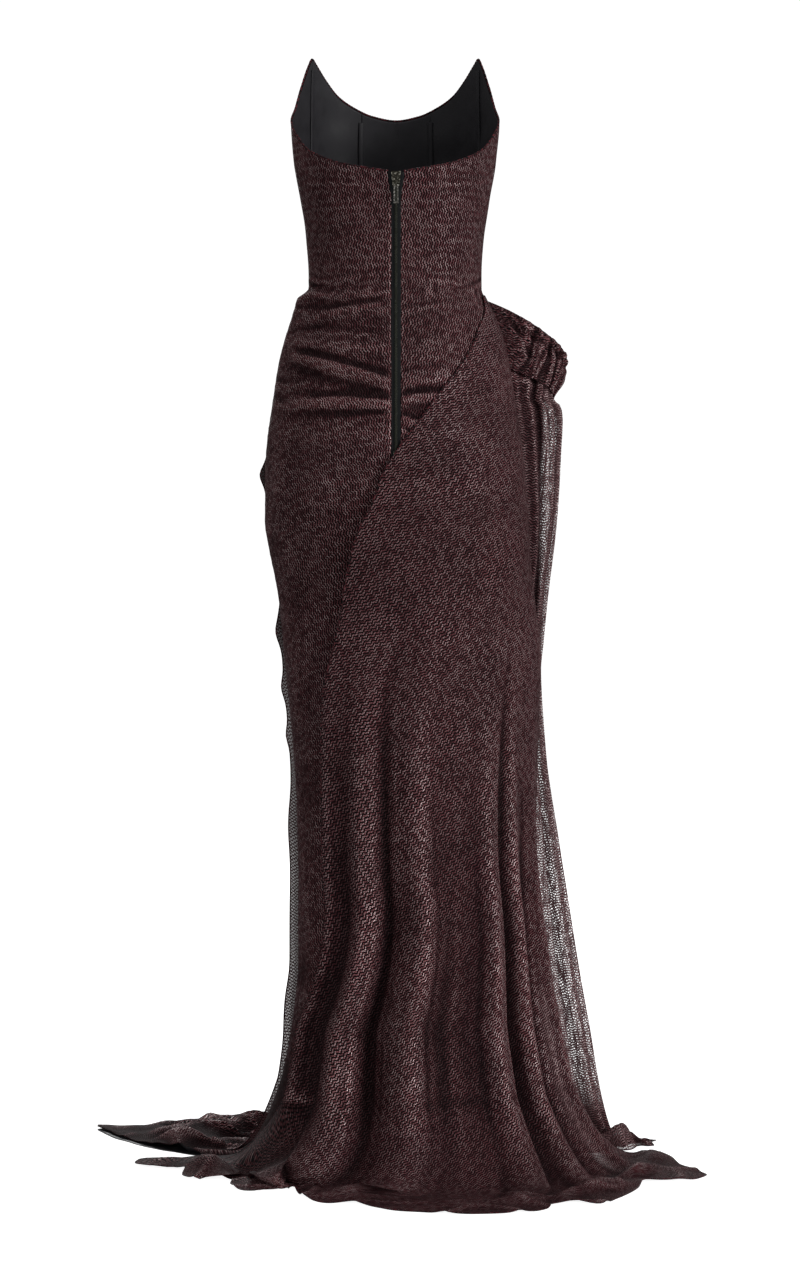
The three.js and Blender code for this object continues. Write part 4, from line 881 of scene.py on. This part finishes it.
# name, from, to, columns, the cloth's anchor and bias, flat size, flat area
SKIRT = [
    ("front", fixed(SKIRT_SEAM), fixed(360 - SKIRT_SEAM), 140, 0.5, 20, (0.66, 1.4), 0.5),
    ("back_right", skirt_zip_edge(1), fixed(SKIRT_SEAM), 96, 0.0, 100, (0.34, 1.2), 0.23),
    ("back_left", fixed(-SKIRT_SEAM), skirt_zip_edge(-1), 120, 1.0, 74, (0.34, 1.2), 0.23),
]
for name, start, end, columns, anchor, bias, flat, area in SKIRT:
    points = skirt_points(start, end, columns)
    in_shadow = 0.8 * ease(-points[..., 2], 880, 1060)
    piece = cloth_piece(
        "underskirt_net_" + name, points, [lined_net, satin], ["skirt_" + name], anchor, bias,
        shade=in_shadow,
    )


def hem_lining_points():
    """The facing flat on the floor, from under the skirt out to its own hem."""
    u, v = grid(30, 160)
    angle = mix(HEM_LINING[0][0], HEM_LINING[-1][0], u)
    (reach,) = hem_lining_at(angle)
    side, behind = hem_spot(angle, mix(HEM_LINING_START, reach, v))
    up = FLOOR + LINING_WALL - 0.2 + 0.2 * ripple(side, behind, 31, 40)
    return place(side, behind, up)


piece = cloth_piece(
    "hem_lining_satin", hem_lining_points(), [satin], ["hem_lining"], thick=SATIN
)


def fold_rise(rows, across, up):
    """Folds that grow downwards: each is rise times a bell across it, from nothing at its start."""
    total = 0
    for middle, half, rise, start in rows:
        total = total + rise * ease(start - up, 0, start - FOOT) * bell(across - middle, half)
    return total


# across, half, rise, from: the finer folds between the main ones
FINE_BACK_FOLDS = [
    (0.06, 0.012, 2.4, -420), (0.095, 0.010, -2.6, -520), (0.19, 0.010, 2.6, -560),
    (0.27, 0.008, -2.2, -640), (0.30, 0.010, 1.8, -700), (0.385, 0.010, -2.6, -480),
    (0.455, 0.014, 0.8, -640), (0.53, 0.010, -2.4, -560), (0.61, 0.008, 2.6, -520),
    (0.66, 0.006, -2.0, -600), (0.72, 0.009, 2.2, -640), (0.79, 0.009, -2.6, -700),
    (0.875, 0.010, 2.2, -620), (0.965, 0.010, 1.6, -660),
]


BACK_DRAPE_GRID = grid(166, 280)
BACK_DRAPE_FALL = fall(BACK_DRAPE_GRID[1], DRAPE_TOP, 0.62, 0.12)


def back_drape_points():
    """The back drape: the form moved out by its stands and folds, then out over the floor. Its way over the
    floor swings to the front at its left edge, by e to minus the share across over 0.05."""
    u, _ = BACK_DRAPE_GRID
    up, turn, run = BACK_DRAPE_FALL
    left, right, back, front = form_at(up)
    stand_left, stand_right, stand_back = back_stands_at(up)
    stand_right = stand_right - 5 * bell(up + 700, 120)
    ring = (left + stand_left, right + stand_right, back + stand_back, front + stand_right)
    (edge,) = back_edge_at(up)
    fold = fold_rise(BACK_DRAPE_FOLDS, u, up)
    foot = ring_spot(mix(edge, BACK_DRAPE_RIGHT, u), ring, fold)
    floor_edge = mix(edge, BACK_DRAPE_HEM_LEFT, ease((turn + run) / 2, 0, 1))
    angle = mix(floor_edge, BACK_DRAPE_RIGHT, u)
    standing = 0.45 * np.maximum(fold, 0) * (1 - run) * turn

    def height(polar, reach):
        return rest_over_skirt(polar, reach) + billow_rise(BACK_DRAPE_BILLOWS, polar, reach) + standing

    (reach,) = back_hem_at(angle)
    swing = 104 * np.exp(-u / 0.05)
    points = on_floor(foot, hem_spot(angle, reach), BACK_DRAPE_TURN, up, turn, run, height, swing)
    fine = 0.5 * fold_rise(FINE_BACK_FOLDS, u, up) * (1 - run)
    heap = ease(turn + run, 0.5, 1.4) * creases(points[..., 0], points[..., 1], 43, 130) * 3.5
    heap = heap * (1 - 0.8 * np.exp(-u / 0.06))
    pulls = bell(up + 30, 40) * ripple(u * 90, up * 0.4, 44, 22) * 0.5
    return lifted(points, fine + heap + pulls)


# across, half, from up: where the drape hangs in a single open layer
OPEN_STRIPES = [(0.80, 0.012, -880), (0.875, 0.014, -820), (0.94, 0.02, -760), (0.985, 0.02, -560)]


def back_drape_shade():
    """Painted shade: the drape darkens downwards, and most beside its left edge, where it turns under."""
    u, _ = BACK_DRAPE_GRID
    up, turn, run = BACK_DRAPE_FALL
    return 0.2 * ease(-up, 500, 900) + 0.35 * bell(u, 0.09) * ease(-up, 560, 900) * (1 - run)


def back_drape_open():
    """How open the net is: a bell across each stripe, from its start down to the floor."""
    u, _ = BACK_DRAPE_GRID
    up, turn, run = BACK_DRAPE_FALL
    total = 0
    for across, half, from_up in OPEN_STRIPES:
        hung = ease(-up, -from_up - 40, -from_up + 40) * (1 - turn) * (run == 0)
        total = total + bell(u - across, half) * hung
    return np.clip(total, 0, 0.95)


back_drape_grid = back_drape_points()
piece = cloth_piece(
    "back_drape_net", back_drape_grid, [sheer_net], ["back_drape"], 0.4, -48,
    reach=(1, 12, 9.0), shade=back_drape_shade(), sheer=back_drape_open(),
)


FRONT_DRAPE_GRID = grid(190, 150, 1.5)


def front_drape_points():
    """The front drape: the form moved out by its stands, its folds and the waves of its left edge."""
    u, v = FRONT_DRAPE_GRID
    up, turn, run = fall(v, DRAPE_TOP, 0.86, 0.1)
    left, right, back, front = form_at(up)
    stand_left, stand_front = front_stands_at(up)
    ring = (left + stand_left, right + stand_front, back, front + stand_front)
    (edge,) = front_edge_at(up)
    angle = mix(FRONT_DRAPE_RIGHT, edge, u)
    wave = sum(rise * bell(up - at, half) for at, half, rise in EDGE_WAVES) * bell(1 - u, EDGE_WAVE_SHARE)
    fold = np.maximum(fold_rise(FRONT_DRAPE_FOLDS, u, up), 3 - stand_front)
    foot = ring_spot(angle, ring, wave + fold)
    (reach,) = front_hem_at(angle)
    points = on_floor(foot, hem_spot(angle, reach), SKIRT_TURN, up, turn, run, rest_over_skirt)
    pulls = bell(up + 60, 90) * ripple(u * 90, up * 0.5, 54, 24) * 0.5
    fine = ease(-up, 300, 900) * ripple(u * 420, up * 0.08, 55, 46) * 1.3
    return lifted(points, pulls + fine * (1 - run) + pulled_folds(angle, up, FRONT_FOLDS))


front_drape_grid = front_drape_points()


def front_drape_open():
    """Open by a bell at its left edge, and in steps down and towards the wearer's left."""
    left, up = front_drape_grid[..., 0], front_drape_grid[..., 2]
    edge = 0.25 * bell(FRONT_DRAPE_GRID[0] - 1, 0.1)
    return edge + 0.36 * ease(left, 40, 130) * ease(-up, 380, 560)


piece = cloth_piece(
    "front_drape_net", front_drape_grid, [sheer_net], ["front_drape"], 0.5, 40,
    reach=(1, 8, 6.0), sheer=front_drape_open(),
)


# The hip loop: ruffle and cascade


def end_fade(share, steep):
    """0 at both ends of a row, rising in a straight line to 1 further in."""
    return np.minimum(1, np.minimum(steep * share, steep * (1 - share)))


def loop_plan(share, up, pleats, rise, inset):
    """A half ellipse that leans out from the hip: a cosine along the hip and a sine out from it. Its pleats
    are a sine across it that dies out at its two ends, and inset moves it inwards."""
    form = form_at(up)
    start, end = ring_spot(LOOP_FROM, form, LOOP_OFF), ring_spot(LOOP_TO, form, LOOP_OFF)
    middle = ((start[0] + end[0]) / 2, (start[1] + end[1]) / 2)
    half, depth = start[0] - middle[0], start[1] - middle[1]
    (widest,) = loop_widest_at(up)
    bulge = np.sqrt((widest - middle[0]) ** 2 - half**2) / LOOP_LEAN_RIGHT

    def smooth(s):
        along, out = np.cos(s * np.pi), np.sin(s * np.pi) * bulge
        side = middle[0] + along * half + out * LOOP_LEAN_RIGHT
        return side, middle[1] + along * depth - out * LOOP_LEAN_FRONT

    here, after, before = smooth(share), smooth(share + 0.01), smooth(share - 0.01)
    run = np.hypot(after[0] - before[0], after[1] - before[1])
    fade = end_fade(share, 6)
    wave = rise * np.sin(share * pleats * 2 * np.pi) * fade - inset
    return here[0] - (after[1] - before[1]) / run * wave, here[1] + (after[0] - before[0]) / run * wave


def loop_arch(share):
    """Half a sine across the loop: 0 at the hip and 1 in its middle."""
    return np.sin(np.clip(share, 0, 1) * np.pi)


def loop_foot(share):
    """How high the ruffle's foot is: lower by the arch."""
    return -98 - 39 * loop_arch(share)


def loop_rim(share):
    """How high the ruffle's rim is: lower by a power of the arch."""
    return -13 - 72 * loop_arch(share) ** 1.12


# across, down: small dark hollows where the ruffle's gathers pinch
RUFFLE_HOLLOWS = [
    (0.07, 0.50), (0.135, 0.47), (0.21, 0.55), (0.26, 0.46), (0.345, 0.47), (0.42, 0.52), (0.1, 0.7),
]


def ruffle_points():
    """A gathered band folded over at its rim. Its pleats are the absolute value of a sine, sharp at the
    bottom, and they lean. A rope of gathers, a valley and small hollows run under the rim."""
    u, v = grid(64, 300)
    back = ease(v, 0, 0.3)
    down = np.maximum(v - 0.3, 0) / 0.7
    rim = loop_rim(u)
    up = np.where(v < 0.3, rim - 16 * (1 - back) ** 2, mix(rim, loop_foot(u), down))
    uneven = u + 0.011 * np.sin(u * 23 + 1.3) + 0.007 * np.sin(u * 57) + 0.1 * down
    side, behind = loop_plan(u, up, 0, 0, (1 - back) * 13 * loop_arch(u))
    fade = end_fade(u, 6)
    pleat = 5.5 * fade * (np.abs(np.sin(uneven * 13 * np.pi)) ** 0.8 - 0.7) * ease(v, 0.2, 0.5)
    fine = 0.6 * fade * np.sin(uneven * 44 * 2 * np.pi) * ease(v, 0.3, 0.6)
    rope = 2.4 * bell(v - 0.36, 0.05) * (0.6 + 0.4 * np.sin(u * 30 * 2 * np.pi)) * fade
    valley = -2.0 * bell(v - 0.47, 0.05) * fade
    hollows = sum(-5.0 * bell(u - a, 0.011) * bell(v - d, 0.06) for a, d in RUFFLE_HOLLOWS)
    crumple = bell(v - 0.3, 0.16) * ripple(u * 300, v * 60, 61, 12) * 1.4 * fade
    return lifted(place(side, behind, up), pleat + fine + rope + valley + hollows + crumple)


ruffle_grid = ruffle_points()
piece = cloth_piece(
    "hip_ruffle_net", ruffle_grid, [lined_net], ["hip_ruffle"], 0.5, 8, shade=0.3
)


CASCADE_GRID = grid(180, 240)
CASCADE_RUN = 84  # how far its hem lies beyond its foot


def cascade_points():
    """The cascade under the ruffle: the loop's plan carried down, with seven pleats and finer gathers, then
    out over the floor, where a bell curls up one place of its hem."""
    u, v = CASCADE_GRID
    top = loop_foot(u) + 9
    up, turn, run = fall(v, top, 0.87, 0.06)
    rise = mix(2.4, 5.5, ease(-up, 120, 940))
    uneven = u + 0.010 * np.sin(u * 17 + 0.6)
    tucked = 5.5 * ease(up - top, -16, -7)
    foot = loop_plan(uneven, up, 7, rise, 1.2 + tucked - 5 * ease(-up, 540, 700))
    polar, reach = np.degrees(np.arctan2(foot[0], foot[1])), np.hypot(foot[0], foot[1])
    curl = 34 * bell(u - 0.2, 0.1) * np.sin(math.pi * run**1.2)
    turn_length = mix(SKIRT_TURN, 36, loop_arch(u))

    def height(p, r):
        return rest_over_skirt(p, r) + curl

    points = on_floor(foot, hem_spot(polar, reach + CASCADE_RUN), turn_length, up, turn, run, height)
    gathers = (1.2 + 2.2 * np.exp((up - top) / 160)) * np.sin(uneven * 14 * 2 * np.pi + 0.5)
    fine = 0.8 * np.sin(uneven * 37 * 2 * np.pi + 1.1) * np.exp((up - top) / 90)
    return lifted(points, (gathers + fine) * end_fade(u, 8))


cascade_grid = cascade_points()

# up, side: where the cascade's sheer outer band begins
CASCADE_BAND = [
    (-151, 185), (-262, 181), (-387, 180), (-486, 180.6), (-535, 176), (-637, 169), (-726, 171),
    (-795, 181), (-857, 191), (-926, 202), (-987, 214),
]


def cascade_open():
    """Open towards the outer edge, in stripes between the gathers, and at the curled hem."""
    u, _ = CASCADE_GRID
    side, up = -cascade_grid[..., 0], cascade_grid[..., 2]
    stripes = 0.62 + 0.38 * np.sin(u * 13 * 2 * np.pi + 0.8)
    (band,) = curve(CASCADE_BAND)(up)
    outer = ease(side - band, -3, 4) * (0.9 + 0.1 * stripes)
    hung = np.maximum(outer, 0.5 * stripes**2 * ease(side, 146, 156)) * (1 - ease(-up, 1000, 1075))
    return np.clip(np.maximum(hung, 0.9 * bell(u - 0.2, 0.08) * ease(-up, 1040, 1070)), 0, 1)


piece = cloth_piece(
    "hip_cascade_net", cascade_grid, [sheer_net], ["hip_cascade"], 0.5, 6, reach=(1, 8, 5.0),
    shade=0.25, sheer=cascade_open(),
)


def rolled_hem(name, points, radius, edges):
    """A thin rolled hem along the named edges of a grid: a tube whose middle is the cloth's edge."""
    normals = facing(points)
    strips = {
        "start": (points[:, 0], normals[:, 0]), "end": (points[:, -1], normals[:, -1]),
        "foot": (points[-1], normals[-1]),
    }
    path = np.concatenate([strips[e][0] for e in edges])
    out = np.concatenate([strips[e][1] for e in edges])
    apart = np.append(True, np.linalg.norm(np.diff(path, axis=0), axis=1) > 0.3)
    path, out = path[apart], out[apart]
    path = path - out * NET / 2
    path[:, 2] = np.maximum(path[:, 2], FLOOR + radius)
    mesh = tube_mesh(name, path, np.full(len(path), radius), out)
    return add_piece(name, mesh, [edge_net])


rolled_hem("back_drape_hem", back_drape_grid, 0.75, ["start", "foot"])
rolled_hem("front_drape_hem", front_drape_grid, 0.8, ["end"])
rolled_hem("hip_cascade_hem", cascade_grid, 0.8, ["foot"])


# Zip


def zip_line(up, across, out):
    """Places on the back at a distance beside its middle, moved out."""
    side, behind = ring_spot(angle_beside(up, across), form_at(up), out)
    return place(side, behind, up)


def zip_tape_points():
    """The tape behind the gap and as wide, ribbed by a cosine across it."""
    u, v = grid(200, 12)
    up = mix(ZIP_TOP, ZIP_BOTTOM - 3, v)
    across = (2 * u - 1) * (zip_half(up) + 0.2)
    return zip_line(up, across, -0.25 + 0.1 * np.cos(across * 2.4))


piece = cloth_piece("zip_tape_weave", zip_tape_points(), [tape], ["zip_tape"], thick=0.6)


TOOTH = {"pitch": 1.3, "halves": (1.3, 0.62, 0.5), "beside": 0.7, "out": 1.3, "rings": 5, "sides": 6}


def zip_teeth_mesh():
    """A tooth is a ball stretched across the zip, and its copies are half a pitch apart, side by side."""
    up = np.arange(ZIP_TOP - 3, ZIP_BOTTOM + 5, -TOOTH["pitch"] / 2)
    sign = np.where(np.arange(len(up)) % 2 == 0, 1.0, -1.0)
    rings, sides = TOOTH["rings"], TOOTH["sides"]
    turn = np.linspace(0, 2 * math.pi, sides + 1)[:-1]
    lift = np.linspace(-1, 1, rings) * math.pi / 2
    wide = np.cos(lift)
    along = np.outer(np.sin(lift), np.ones(sides))
    ring = np.stack([along, np.outer(wide, np.cos(turn)), np.outer(wide, np.sin(turn))], -1)
    ball = ring.reshape(-1, 3) * TOOTH["halves"]
    middle = zip_line(up, np.zeros_like(up), TOOTH["out"])
    middle[:, 0] += sign * TOOTH["beside"]
    faces = quads(rings, sides, True)[:, [0, 3, 2, 1]]
    every = faces[None] + (np.arange(len(up)) * rings * sides)[:, None, None]
    return listed_mesh("zip_teeth", middle[:, None] + ball[None], every.reshape(-1, 4).tolist())


add_piece("zip_teeth", zip_teeth_mesh(), [nylon], ["zip_coil"])
for name, metal in (("zip_stop", gunmetal), ("zip_slider", gunmetal), ("zip_pull", worn_gunmetal)):
    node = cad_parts[name]
    node.data.materials.clear()
    node.data.materials.append(metal)


# Floor, light and camera


def make_floor():
    """A pale square, 40 m out each way from the gown, which the camera sees nearly white."""
    floor = bpy.data.meshes.new("floor")
    reach = 40.0
    corners = [(-reach, -reach), (reach, -reach), (reach, reach), (-reach, reach)]
    floor.from_pydata([(x, y, FLOOR * MM) for x, y in corners], [], [(0, 1, 2, 3)])
    made = bpy.data.objects.new("floor", floor)
    bpy.context.scene.collection.objects.link(made)
    material, board, shader = new_material("pale_floor")
    shader.inputs["Base Color"].default_value = (0.5, 0.5, 0.5, 1)
    shader.inputs["Roughness"].default_value = 0.9
    shader.inputs["Specular IOR Level"].default_value = 0.1
    shader.inputs["Emission Color"].default_value = (1, 1, 1, 1)
    seen = board.add("ShaderNodeLightPath").outputs["Is Camera Ray"]
    board.put(shader.inputs["Emission Strength"], board.math("MULTIPLY", seen, 0.95))
    floor.materials.append(material)


def area_light(name, spot, aim, size, power):
    """A square light turned towards its aim, with its size in metres and its power in watts."""
    data = bpy.data.lights.new(name, "AREA")
    data.shape = "SQUARE"
    data.size = size
    data.energy = power
    light = bpy.data.objects.new(name, data)
    bpy.context.scene.collection.objects.link(light)
    light.location = spot
    direction = Vector(aim) - Vector(spot)
    light.rotation_euler = direction.to_track_quat("-Z", "Y").to_euler()


make_floor()
area_light("key", (-3.6, 2.8, 0.5), (0, 0, -0.5), 1.4, 135)
area_light("fill", (3.2, 3.6, 0.2), (0, 0, -0.5), 2.4, 26)
area_light("front_soft", (0.5, -4.4, 1.2), (0, 0, -0.4), 2.2, 120)
area_light("top", (0, 0.6, 3.2), (0, 0, -0.4), 2.0, 26)
world = bpy.data.worlds.new("studio")
bpy.context.scene.world = world
world.use_nodes = True
sky = Board(world.node_tree)
background = world.node_tree.nodes["Background"]
background.inputs["Color"].default_value = (1, 1, 1, 1)
seen = sky.add("ShaderNodeLightPath").outputs["Is Camera Ray"]
sky.put(background.inputs["Strength"], sky.ramp(seen, 0.0, 1.0, 0.31, 1.05))
bpy.context.scene.view_settings.view_transform = "Standard"

# In the photo's pixels: its height, the camera's distance at 1.25 mm each, its look down and its shift
PHOTO_TALL, FAR_PIXELS, LOOK_DOWN_PIXELS, SHIFT_PIXELS = 1282, 4000, 121, 4
SENSOR = 36.0
camera_data = bpy.data.cameras.new("camera")
camera_data.sensor_width = SENSOR
camera_data.lens = SENSOR * FAR_PIXELS / PHOTO_TALL
camera_data.clip_end = 200
camera_data.shift_x = SHIFT_PIXELS / PHOTO_TALL
camera = bpy.data.objects.new("camera", camera_data)
bpy.context.scene.collection.objects.link(camera)
camera.location = (0, 5.0, -0.2875)
tilt = math.degrees(math.atan(LOOK_DOWN_PIXELS / FAR_PIXELS))
camera.rotation_euler = (math.radians(90 - tilt), 0, math.pi)
bpy.context.scene.camera = camera
